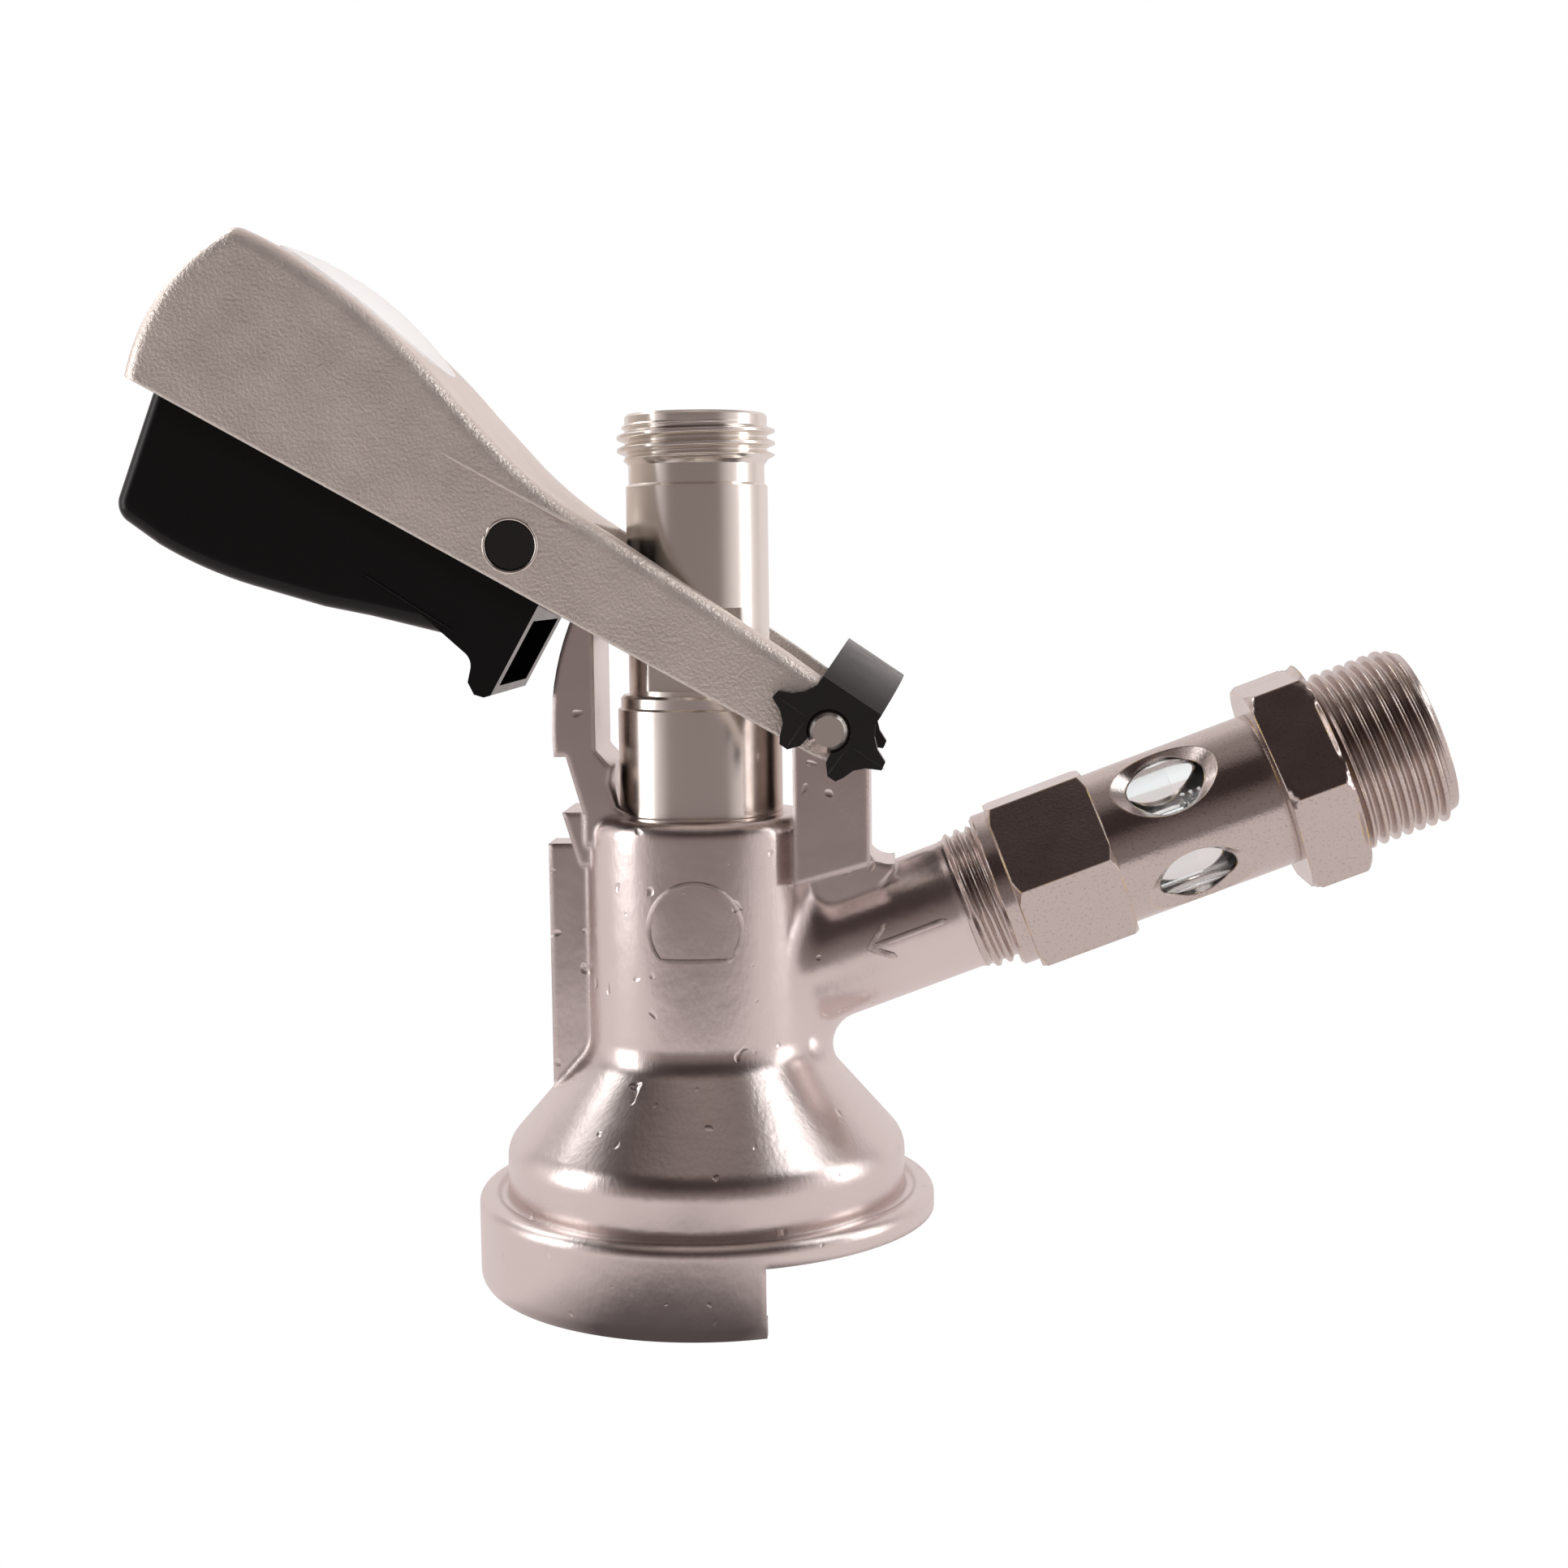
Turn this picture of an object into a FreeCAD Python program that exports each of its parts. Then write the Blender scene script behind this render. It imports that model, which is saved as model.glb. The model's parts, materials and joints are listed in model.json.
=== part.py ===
import FreeCAD, Part
import math
import os

import Sketcher

V = FreeCAD.Vector
doc = FreeCAD.newDocument("keg_coupler")

# Sizes in millimetres and degrees. Z is up, the origin is on the probe axis at the foot's underside,
# the gas branch leaves towards +X and the lever's palm towards -X.
SIZES = [
    ("foot_r", 33.7, "outer radius of the foot"),
    ("foot_h", 10.3, "height of the open horseshoe under the flange"),
    ("foot_end_x", 10.5, "where the horseshoe stops on the open side"),
    ("lip_r", 28.2, "inner radius of the lip that hooks under the keg neck"),
    ("lip_h", 2.6, "thickness of that lip"),
    ("slot_r", 30.6, "radius of the channel above the lip"),
    ("flange_top", 13.7, "top of the rounded flange"),
    ("ditch_in", 1.6, "width of the shallow ditch beside the wall"),
    ("ditch_d", 0.8, "depth of that ditch"),
    ("wall_r", 29.4, "radius of the lower wall"),
    ("wall_top", 20.5, "where the wall turns into the cone"),
    ("neck_z", 34.7, "where the cone meets the upper cylinder"),
    ("neck_r", 17.0, "radius of the upper cylinder"),
    ("body_top", 69.0, "top of the upper cylinder"),
    ("bore_r", 12.0, "bore that guides the probe"),
    ("chamber_r", 13.4, "gas space round the probe"),
    ("chamber_top", 43.8, "top of the gas space"),
    ("head_r", 11.95, "radius of the probe's guided head"),
    ("head_low", 58.6, "underside of the head"),
    ("head_step", 84.3, "first small step on the head"),
    ("head_top", 86.4, "top of the head"),
    ("step_r", 11.5, "radius of the small step"),
    ("stem_r", 8.6, "radius of the probe below its head"),
    ("tube_r", 10.28, "radius of the upper tube"),
    ("tube_top", 116.3, "top of the upper tube"),
    ("relief_r", 9.85, "radius of the relief below the outlet thread"),
    ("relief_top", 119.4, "top of the relief"),
    ("outlet_r", 11.455, "crest radius of the outlet thread"),
    ("outlet_low", 120.6, "start of the full outlet thread"),
    ("outlet_end", 124.8, "end of the outlet thread"),
    ("lead_r", 10.3, "radius of the plain lead above the thread"),
    ("probe_top", 126.7, "top of the probe"),
    ("probe_low", 7.0, "bottom of the probe"),
    ("beer_r", 5.5, "radius of the beer passage"),
    ("ball_r", 4.7, "radius of the check ball"),
    ("ball_z", 111.6, "height of the check ball's centre"),
    ("cage_r", 6.6, "radius of the ball's chamber"),
    ("flat_y", 7.9, "distance from the axis to the drive flats"),
    ("flat_low", 87.1, "bottom of the drive flats"),
    ("flat_top", 98.9, "top of the drive flats"),
    ("ring_t", 1.0, "section radius of the probe's round rings"),
    ("hinge_x", 19.4, "hinge pin, distance from the probe axis"),
    ("hinge_z", 82.1, "hinge pin, height"),
    ("pin_r", 3.0, "radius of the hinge pin"),
    ("post_r", 5.4, "half thickness of the hinge post"),
    ("post_y", 12.7, "half width of the hinge post"),
    ("post_foot", 59.5, "underside of the hinge post's wide part"),
    ("catch_r", 40.0, "radius of the catch face about the hinge pin"),
    ("catch_y", 8.5, "half width of the catch post"),
    ("catch_top", 98.5, "top of the catch post"),
    ("ledge_z", 77.9, "height of the catch ledge"),
    ("rib_x", 22.2, "reach of the back rib"),
    ("rib_y", 3.6, "half thickness of the back rib"),
    ("rib_top", 64.8, "top of the back rib"),
    ("branch_z", 41.0, "height where the branch axis meets the probe axis"),
    ("branch_deg", 20.46, "rise of the branch"),
    ("branch_r", 9.6, "radius of the branch"),
    ("branch_bore", 6.2, "bore of the branch"),
    ("branch_root", 9.7, "core radius of the branch's thread"),
    ("branch_thread", 40.5, "start of the branch's thread, along the branch"),
    ("branch_end", 51.8, "end of the branch"),
    ("lever_deg", 29.4, "rise of the lever at rest"),
    ("lever_y", 18.0, "half width of the lever"),
    ("fork_y", 13.3, "half gap between the fork arms"),
    ("fork_end", 42.7, "where the top of the fork closes, along the lever"),
    ("lever_low", 4.2, "lever's lower edge below the hinge pin"),
    ("lever_end", 109.6, "palm end of the lever"),
    ("hollow_end", 107.5, "inner face of the palm's end wall"),
    ("hollow_y", 15.6, "half width of the hollow under the palm"),
    ("arm_top", 6.5, "upper edge of the fork arms above the hinge pin"),
    ("roof_t", 2.8, "thickness of the palm's roof"),
    ("boss_r", 3.6, "radius of the drive bosses"),
    ("boss_s", 22.53, "drive bosses, distance from the hinge pin along the lever"),
    ("boss_h", 1.0, "drive bosses, height above the hinge line"),
    ("boss_y", 8.3, "inner end of the drive bosses"),
    ("grip_s", 50.8, "grip pin, distance from the hinge pin along the lever"),
    ("grip_h", 1.0, "grip pin, height above the hinge line"),
    ("grip_pin_r", 3.5, "radius of the grip pin"),
    ("grip_y", 15.0, "half width of the grip"),
    ("grip_wall", 2.6, "wall of the grip"),
    ("clip_deg", 34.4, "rise of the clip"),
    ("clip_y", 21.0, "outer face of the clip's cheeks"),
    ("clip_in", 18.25, "inner face of the clip's cheeks"),
    ("collar_s", 45.8, "start of the valve housing, along the branch"),
    ("hex1_s", 48.4, "start of the housing's hexagon"),
    ("sleeve_s", 63.2, "end of the housing's hexagon"),
    ("hex2_s", 88.3, "start of the connector's hexagon"),
    ("thread_s", 97.2, "end of the connector's hexagon"),
    ("inlet_end", 111.6, "end of the gas inlet"),
    ("collar_r", 11.5, "radius of the housing's collar"),
    ("hex1_af", 24.0, "housing hexagon across flats"),
    ("hex1_deg", -2.0, "turn of the housing hexagon"),
    ("sleeve_r", 11.35, "radius of the sight sleeve"),
    ("sleeve_in", 9.75, "bore of the sight sleeve"),
    ("window_s", 73.8, "centre of the sight windows"),
    ("window_r", 5.1, "radius of the sight windows"),
    ("window_cone", 8.3, "outer radius of the windows' chamfer"),
    ("window_deg", 45.0, "turn of the first sight window"),
    ("hex2_af", 29.0, "connector hexagon across flats"),
    ("hex2_deg", 2.0, "turn of the connector hexagon"),
    ("inlet_r", 13.22, "crest radius of the inlet thread"),
    ("inlet_bore", 8.0, "bore of the gas inlet"),
    ("tube_out", 9.6, "outer radius of the clear tube"),
    ("tube_in", 8.2, "inner radius of the clear tube"),
]

sheet = doc.addObject("Spreadsheet::Sheet", "Sizes")
for row, (word, number, meaning) in enumerate(SIZES, start=1):
    sheet.set("A%d" % row, meaning)
    sheet.set("B%d" % row, repr(number))
    sheet.setAlias("B%d" % row, word)
doc.recompute()


class Dim:
    """A size that keeps its number beside the sheet expression it comes from."""

    def __init__(self, number, text=None):
        self.number = float(number)
        self.text = text if text is not None else "%.6f" % float(number)

    def _join(self, other, sign, number):
        return Dim(number, "(%s %s %s)" % (self.text, sign, dim(other).text))

    def __add__(self, other):
        return self._join(other, "+", self.number + dim(other).number)

    def __sub__(self, other):
        return self._join(other, "-", self.number - dim(other).number)

    def __mul__(self, other):
        return self._join(other, "*", self.number * dim(other).number)

    def __truediv__(self, other):
        return self._join(other, "/", self.number / dim(other).number)

    def __radd__(self, other):
        return dim(other) + self

    def __rsub__(self, other):
        return dim(other) - self

    def __rmul__(self, other):
        return dim(other) * self

    def __neg__(self):
        return Dim(-self.number, "(0 - %s)" % self.text)


def dim(value):
    return value if isinstance(value, Dim) else Dim(value)


def sine(angle):
    return Dim(math.sin(math.radians(angle.number)), "sin(%s)" % angle.text)


def cosine(angle):
    return Dim(math.cos(math.radians(angle.number)), "cos(%s)" % angle.text)


def root(value):
    return Dim(math.sqrt(value.number), "sqrt(%s)" % value.text)


S = {word: Dim(number, "Sizes." + word) for word, number, meaning in SIZES}


def bind(thing, path, value):
    thing.setExpression(path, dim(value).text)


def new_body(name, at=(0, 0, 0), turn=0.0, axis=V(0, 1, 0)):
    """Start a sub-part whose own frame is placed and turned by sheet sizes."""
    body = doc.addObject("PartDesign::Body", name)
    body.Label = name
    x, y, z = [dim(value) for value in at]
    turn = dim(turn)
    rotation = FreeCAD.Rotation(axis, turn.number)
    body.Placement = FreeCAD.Placement(V(x.number, y.number, z.number), rotation)
    for letter, value in zip("xyz", (x, y, z)):
        if value.number != 0.0:
            bind(body, "Placement.Base." + letter, value)
    if turn.number != 0.0:
        bind(body, "Placement.Rotation.Angle", turn)
    return body


def new_sketch(body, name, plane="XZ", shift=None, turn=None, axis=V(0, 0, 1)):
    """Sketch on an origin plane, its own frame shifted and turned by sheet sizes."""
    sketch = body.newObject("Sketcher::SketchObject", name)
    for feature in body.Origin.OriginFeatures:
        if feature.Role == plane + "_Plane":
            sketch.AttachmentSupport = [(feature, "")]
    sketch.MapMode = "FlatFace"
    shift = [dim(value) for value in (shift or (0, 0, 0))]
    base = V(*[value.number for value in shift])
    rotation = FreeCAD.Rotation(axis, dim(turn or 0.0).number)
    sketch.AttachmentOffset = FreeCAD.Placement(base, rotation)
    for letter, value in zip("xyz", shift):
        if value.number != 0.0:
            bind(sketch, "AttachmentOffset.Base." + letter, value)
    if turn is not None:
        bind(sketch, "AttachmentOffset.Rotation.Angle", turn)
    return sketch


def fix(sketch, kind, *parts):
    """Add one dimension to a sketch and bind it to the sheet."""
    value = parts[-1]
    index = sketch.addConstraint(Sketcher.Constraint(kind, *parts[:-1], value.number))
    sketch.setExpression("Constraints[%d]" % index, value.text)


def outline(sketch, corners):
    """Draw a closed outline. A corner is (x, y) or (x, y, radius) when an arc leaves it;
    a positive radius bulges to the right of the way travelled."""
    count = len(corners)
    points = [(dim(c[0]), dim(c[1])) for c in corners]
    for i, corner in enumerate(corners):
        (ax, ay), (bx, by) = points[i], points[(i + 1) % count]
        a = V(ax.number, ay.number, 0)
        b = V(bx.number, by.number, 0)
        if len(corner) == 3:
            radius = dim(corner[2])
            size = abs(radius.number)
            chord = b - a
            half = chord.Length / 2
            side = 1.0 if radius.number > 0 else -1.0
            left = V(-chord.y, chord.x, 0).normalize()
            centre = (a + b) * 0.5 + left * side * math.sqrt(max(size * size - half * half, 1e-9))
            circle = Part.Circle(centre, V(0, 0, 1), size)
            first = math.atan2(a.y - centre.y, a.x - centre.x)
            last = math.atan2(b.y - centre.y, b.x - centre.x)
            if side < 0:
                first, last = last, first
            sketch.addGeometry(Part.ArcOfCircle(circle, first, last))
        else:
            sketch.addGeometry(Part.LineSegment(a, b))
    ends = []
    for corner in corners:
        ends.append((2, 1) if len(corner) == 3 and dim(corner[2]).number < 0 else (1, 2))
    for i in range(count):
        after = (i + 1) % count
        sketch.addConstraint(Sketcher.Constraint("Coincident", i, ends[i][1], after, ends[after][0]))
    for i, corner in enumerate(corners):
        start = ends[i][0]
        for kind, value in (("DistanceX", points[i][0]), ("DistanceY", points[i][1])):
            fix(sketch, kind, -1, 1, i, start, value)
        if len(corner) == 3:
            radius = dim(corner[2])
            fix(sketch, "Radius", i, radius if radius.number > 0 else -radius)


def ring(sketch, x, y, radius):
    """Draw a circle."""
    x, y, radius = dim(x), dim(y), dim(radius)
    index = sketch.addGeometry(Part.Circle(V(x.number, y.number, 0), V(0, 0, 1), radius.number))
    fix(sketch, "DistanceX", -1, 1, index, 3, x)
    fix(sketch, "DistanceY", -1, 1, index, 3, y)
    fix(sketch, "Radius", index, radius)


def turned(body, name, corners, kind="Revolution", about="V_Axis", **frame):
    """Turn an outline a full circle, adding or removing material."""
    sketch = new_sketch(body, name + "_outline", **frame)
    outline(sketch, corners)
    feature = body.newObject("PartDesign::" + kind, name)
    feature.Profile = sketch
    feature.ReferenceAxis = (sketch, [about])
    feature.Angle = 360.0
    sketch.Visibility = False
    return feature


def block(body, name, draw, depth, kind="Pad", middle=True, back=False, **frame):
    """Push a drawn outline through a depth, adding or removing material."""
    sketch = new_sketch(body, name + "_outline", **frame)
    draw(sketch)
    feature = body.newObject("PartDesign::" + kind, name)
    feature.Profile = sketch
    if middle:
        feature.Midplane = True
    feature.Reversed = back
    bind(feature, "Length", depth)
    sketch.Visibility = False
    return feature


def rounded(body, name, radius, wanted):
    """Round the edges of the body's last feature that the test picks out."""
    doc.recompute()
    last = body.Tip
    names = []
    for index, edge in enumerate(last.Shape.Edges, start=1):
        if wanted(edge):
            names.append("Edge%d" % index)
    if not names:
        raise ValueError("no edge to round for " + name)
    feature = body.newObject("PartDesign::Fillet", name)
    feature.Base = (last, names)
    feature.Radius = dim(radius).number
    bind(feature, "Radius", radius)
    doc.recompute()
    return feature


def is_ring(edge, radius, height, slack=0.05):
    """True for a full circle of this radius at this height."""
    curve = edge.Curve
    if not isinstance(curve, Part.Circle):
        return False
    return abs(curve.Radius - radius) < slack and abs(edge.CenterOfMass.z - height) < slack


# Coupler body: a plated casting with a horseshoe foot, a cone, a bored cylinder, a gas branch,
# a hinge post on the gas side and a catch post on the palm side.
body = new_body("coupler_body")
turned(body, "foot_and_tower", [
    (0, 0),
    (S["foot_r"], 0),
    (S["foot_r"], S["flange_top"]),
    (S["wall_r"] + S["ditch_in"], S["flange_top"]),
    (S["wall_r"] + S["ditch_in"] - 0.3, S["flange_top"] - S["ditch_d"]),
    (S["wall_r"], S["flange_top"] - S["ditch_d"]),
    (S["wall_r"], S["wall_top"]),
    (S["neck_r"], S["neck_z"]),
    (S["neck_r"], S["body_top"]),
    (0, S["body_top"]),
])
rounded(body, "wall_round", 5.0, lambda e: is_ring(e, S["wall_r"].number, S["wall_top"].number))
rounded(body, "neck_round", 5.0, lambda e: is_ring(e, S["neck_r"].number, S["neck_z"].number))
rounded(body, "foot_round", 2.3, lambda e: is_ring(e, S["foot_r"].number, 0.0))
rounded(body, "flange_round", 1.6, lambda e: is_ring(e, S["foot_r"].number, S["flange_top"].number))
turned(body, "gas_branch", [
    (2, 0),
    (S["branch_end"], 0),
    (S["branch_end"], S["branch_root"] - 0.8),
    (S["branch_end"] - 0.8, S["branch_root"]),
    (S["branch_thread"], S["branch_root"]),
    (S["branch_thread"] - 0.4, S["branch_r"]),
    (2, S["branch_r"]),
], about="H_Axis", shift=(0, S["branch_z"], 0), turn=S["branch_deg"])
doc.recompute()


def near_branch_root(edge):
    """True for the seam where the branch leaves the tower."""
    box = edge.BoundBox
    if isinstance(edge.Curve, (Part.Line, Part.Circle)):
        return False
    tower = all(abs(math.hypot(v.X, v.Y) - S["neck_r"].number) < 0.6 for v in edge.Vertexes)
    return tower and box.XMin > 4 and box.ZMin > S["neck_z"].number - 6


rounded(body, "branch_blend", 5.0, near_branch_root)
rounded(body, "shoulder_round", 2.3, lambda e: is_ring(e, S["neck_r"].number, S["body_top"].number))

slope = sine(S["branch_deg"]) / cosine(S["branch_deg"])
post_in = S["hinge_x"] - S["post_r"]
post_out = S["hinge_x"] + S["post_r"]
block(body, "hinge_post", lambda s: outline(s, [
    (post_in, S["hinge_z"], -S["post_r"] * 1.0001),
    (post_out, S["hinge_z"]),
    (post_out, S["post_foot"] + 2 * S["post_r"] * slope * 0.75),
    (post_in, S["post_foot"]),
]), 2 * S["post_y"])
crest = S["branch_z"] + S["branch_r"] / cosine(S["branch_deg"])
block(body, "hinge_web", lambda s: outline(s, [
    (post_in + 0.6, S["hinge_z"] - 8),
    (post_in + 0.6, crest - 6),
    (post_out + 3.5, crest - 1 + (post_out + 3.5) * slope),
    (post_out + 3.5, crest + 0.15 + (post_out + 3.5) * slope, -3.4),
    (post_out - 0.6, S["post_foot"] + 6.0),
    (post_out - 0.6, S["hinge_z"] - 8),
]), 13)
swing = S["catch_r"] * S["catch_r"]
low_x = S["hinge_x"] - root(swing - (S["hinge_z"] - S["ledge_z"]) * (S["hinge_z"] - S["ledge_z"]))
high_x = S["hinge_x"] - root(swing - (S["catch_top"] - S["hinge_z"]) * (S["catch_top"] - S["hinge_z"]))
block(body, "catch_post", lambda s: outline(s, [
    (low_x, S["ledge_z"]),
    (low_x + 1.7, S["ledge_z"]),
    (low_x + 4.1, S["body_top"] + 0.5),
    (low_x + 4.1, S["body_top"] - 4),
    (-9.5, S["body_top"] - 4),
    (-9.5, S["body_top"] + 0.4),
    (-11.6, S["body_top"] + 1.6),
    (-12.6, S["body_top"] + 5.0),
    (-12.2, S["body_top"] + 7.3),
    (-14.4, S["body_top"] + 9.8),
    (-14.4, S["catch_top"]),
    (high_x, S["catch_top"], S["catch_r"]),
]), 2 * S["catch_y"])
block(body, "back_rib", lambda s: outline(s, [
    (-S["rib_x"], S["neck_z"] - 8),
    (-S["neck_r"] + 2, S["neck_z"] - 8),
    (-S["neck_r"] + 2, S["rib_top"]),
    (-S["rib_x"], S["rib_top"]),
]), 2 * S["rib_y"])
block(body, "post_gusset", lambda s: outline(s, [
    (-S["neck_r"] - 2.6, S["body_top"] + 0.7),
    (-S["neck_r"] - 0.2, S["body_top"] - 7.2),
    (-S["neck_r"] + 2, S["body_top"] - 7.2),
    (-S["neck_r"] + 2, S["body_top"] + 0.7),
]), 2 * S["catch_y"] - 3)
block(body, "open_side", lambda s: outline(s, [
    (S["foot_end_x"], -1),
    (S["foot_r"] + 4, -1),
    (S["foot_r"] + 4, S["foot_h"]),
    (S["foot_end_x"], S["foot_h"]),
]), 2 * S["foot_r"] + 8, kind="Pocket")
for word, radius, low in (("lip_channel", S["lip_r"], dim(-1)), ("neck_channel", S["slot_r"], S["lip_h"])):
    block(body, word, lambda s, r=radius: outline(s, [
        (0, r, r),
        (-r, 0, r),
        (0, -r),
        (S["foot_r"] + 4, -r),
        (S["foot_r"] + 4, r),
    ]), S["foot_h"] - low, kind="Pocket", middle=False, back=True, plane="XY", shift=(0, 0, low))
turned(body, "bore", [
    (0, S["foot_h"] - 1),
    (S["chamber_r"], S["foot_h"] - 1),
    (S["chamber_r"], S["chamber_top"]),
    (S["bore_r"], S["chamber_top"] + 1.5),
    (S["bore_r"], S["body_top"] - 0.6),
    (S["bore_r"] + 0.6, S["body_top"]),
    (S["bore_r"] + 0.6, S["catch_top"] + 1),
    (0, S["catch_top"] + 1),
], kind="Groove")
turned(body, "seal_seat", [
    (15.2, S["foot_h"] - 1),
    (22.4, S["foot_h"] - 1),
    (22.4, S["foot_h"] + 2.4),
    (15.2, S["foot_h"] + 2.4),
], kind="Groove")
turned(body, "gas_bore", [
    (8, 0),
    (S["branch_end"] + 1, 0),
    (S["branch_end"] + 1, S["branch_bore"]),
    (8, S["branch_bore"]),
], kind="Groove", about="H_Axis", shift=(0, S["branch_z"], 0), turn=S["branch_deg"])
block(body, "hinge_hole", lambda s: ring(s, S["hinge_x"], S["hinge_z"], S["pin_r"] + 0.04),
      2 * S["post_y"] + 4, kind="Pocket")


# Probe: a turned stainless tube that slides in the bore. Its head carries two round rings, its foot
# the keg seal, its top the outlet thread, and two flats take the lever's drive bosses.
probe = new_body("probe")
seat_drop = S["ball_r"] * 1.4142136 + 0.02
turned(probe, "turning", [
    (S["beer_r"], S["probe_low"]),
    (S["beer_r"] + 1.9, S["probe_low"]),
    (S["beer_r"] + 1.9, S["probe_low"] + 0.8),
    (S["beer_r"] + 1.2, S["probe_low"] + 0.9),
    (S["beer_r"] + 1.2, S["probe_low"] + 4.0),
    (S["beer_r"] + 4.2, S["probe_low"] + 4.0),
    (S["beer_r"] + 4.2, S["probe_low"] + 6.5),
    (S["stem_r"], S["probe_low"] + 7.6),
    (S["stem_r"], S["head_low"]),
    (S["head_r"], S["head_low"]),
    (S["head_r"], S["head_step"]),
    (S["step_r"], S["head_step"] + 0.3),
    (S["step_r"], S["head_top"] - 0.4),
    (S["step_r"] - 0.4, S["head_top"]),
    (S["tube_r"], S["head_top"]),
    (S["tube_r"], S["tube_top"]),
    (S["relief_r"], S["tube_top"] + 0.4),
    (S["relief_r"], S["relief_top"]),
    (S["outlet_r"], S["outlet_low"]),
    (S["outlet_r"], S["outlet_end"]),
    (S["lead_r"], S["outlet_end"] + 0.6),
    (S["lead_r"], S["probe_top"] - 0.4),
    (S["lead_r"] - 0.4, S["probe_top"]),
    (S["cage_r"] + 2.3, S["probe_top"]),
    (S["cage_r"] + 1.8, S["probe_top"] - 0.6),
    (S["cage_r"] + 1.8, S["probe_top"] - 4.4),
    (S["cage_r"], S["probe_top"] - 4.4),
    (S["cage_r"], S["ball_z"] + S["cage_r"] - seat_drop),
    (S["beer_r"] - 2.0, S["ball_z"] + S["beer_r"] - 2.0 - seat_drop),
    (S["beer_r"] - 2.0, S["ball_z"] - 10.0),
    (S["beer_r"], S["ball_z"] - 12.0),
])
for word, low in (("low", 2.4), ("high", 6.8)):
    turned(probe, "ring_groove_" + word, [
        (S["bore_r"] - 2 * S["ring_t"] + 0.05, S["head_low"] + low),
        (S["bore_r"] + 1, S["head_low"] + low),
        (S["bore_r"] + 1, S["head_low"] + low + 2.6),
        (S["bore_r"] - 2 * S["ring_t"] + 0.05, S["head_low"] + low + 2.6),
    ], kind="Groove")
for word, side in (("front", -1), ("rear", 1)):
    block(probe, "drive_flat_" + word, lambda s, y=side * S["flat_y"], f=side * (S["tube_r"] + 1): outline(s, [
        (-15, y),
        (15, y),
        (15, f),
        (-15, f),
    ]), S["flat_top"] - S["flat_low"], kind="Pocket", middle=False, back=True,
        plane="XY", shift=(0, 0, S["flat_low"]))

# Rubber pieces on the probe: the keg seal at its foot and the two rings in its head.
keg_seal = new_body("probe_seal")
turned(keg_seal, "moulding", [
    (S["beer_r"] + 1.2, S["probe_low"] + 0.9),
    (S["beer_r"] + 1.9, S["probe_low"] + 0.9),
    (S["beer_r"] + 2.2, S["probe_low"] - 0.8),
    (S["beer_r"] + 4.4, S["probe_low"] + 0.4),
    (S["beer_r"] + 4.4, S["probe_low"] + 2.6),
    (S["beer_r"] + 3.6, S["probe_low"] + 4.0),
    (S["beer_r"] + 1.2, S["probe_low"] + 4.0),
])
for word, low in (("lower", 3.7), ("upper", 8.1)):
    rubber = new_body("probe_ring_" + word)
    middle_r = S["bore_r"] - S["ring_t"]
    turned(rubber, "ring_" + word, [
        (middle_r, S["head_low"] + low - S["ring_t"], S["ring_t"]),
        (middle_r + S["ring_t"], S["head_low"] + low, S["ring_t"]),
        (middle_r, S["head_low"] + low + S["ring_t"], S["ring_t"]),
        (middle_r - S["ring_t"] + 0.05, S["head_low"] + low, S["ring_t"] * 1.001),
    ])

# Beer check: a loose ball on a cone seat and the cross-barred cage that keeps it in.
ball = new_body("check_ball")
turned(ball, "ball", [
    (0, S["ball_z"] - S["ball_r"], S["ball_r"] * 1.00001),
    (0, S["ball_z"] + S["ball_r"]),
])
cage = new_body("ball_retainer")
turned(cage, "cage_ring", [
    (S["cage_r"] - 0.6, S["probe_top"] - 4.4),
    (S["cage_r"] + 1.8, S["probe_top"] - 4.4),
    (S["cage_r"] + 1.8, S["probe_top"] - 2.6),
    (S["cage_r"] - 0.6, S["probe_top"] - 2.6),
])
for word, half_x, half_y in (("long", S["cage_r"], dim(0.7)), ("cross", dim(0.7), S["cage_r"])):
    block(cage, "bar_" + word, lambda s, a=half_x, b=half_y: outline(s, [
        (-a, -b),
        (a, -b),
        (a, b),
        (-a, b),
    ]), 1.4, middle=False, plane="XY", shift=(0, 0, S["probe_top"] - 4.4))

# Body seal: the broad rubber ring in the roof of the foot that meets the keg neck.
body_seal = new_body("body_seal")
turned(body_seal, "moulding", [
    (15.2, S["foot_h"] - 1.8),
    (16.6, S["foot_h"] - 2.4),
    (21.0, S["foot_h"] - 2.4),
    (22.4, S["foot_h"] - 1.8),
    (22.4, S["foot_h"] + 2.4),
    (15.2, S["foot_h"] + 2.4),
])

# Lever: one stainless casting in its own frame, origin on the hinge pin, palm towards local -X.
at_hinge = (S["hinge_x"], 0, S["hinge_z"])
lever = new_body("lever", at=at_hinge, turn=S["lever_deg"])
low = S["lever_low"]
end = S["lever_end"]
block(lever, "lever_side", lambda s: outline(s, [
    (0, -low, 5.9),
    (5.6, 1.2),
    (5.6, 2.0, 3.4),
    (2.6, S["arm_top"] - 3.0),
    (-3.9, S["arm_top"] - 3.0),
    (-4.3, S["arm_top"] - 0.8),
    (-10, S["arm_top"] - 0.1),
    (-40, S["arm_top"] + 2.5, -60),
    (-57, 11.6),
    (-67, 15.0, 95),
    (-95, 21.5, 45),
    (-end + 4.6, 21.4, 30),
    (-end, -low + 0.4),
    (-end + 0.4, -low),
]), 2 * S["lever_y"])


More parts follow.
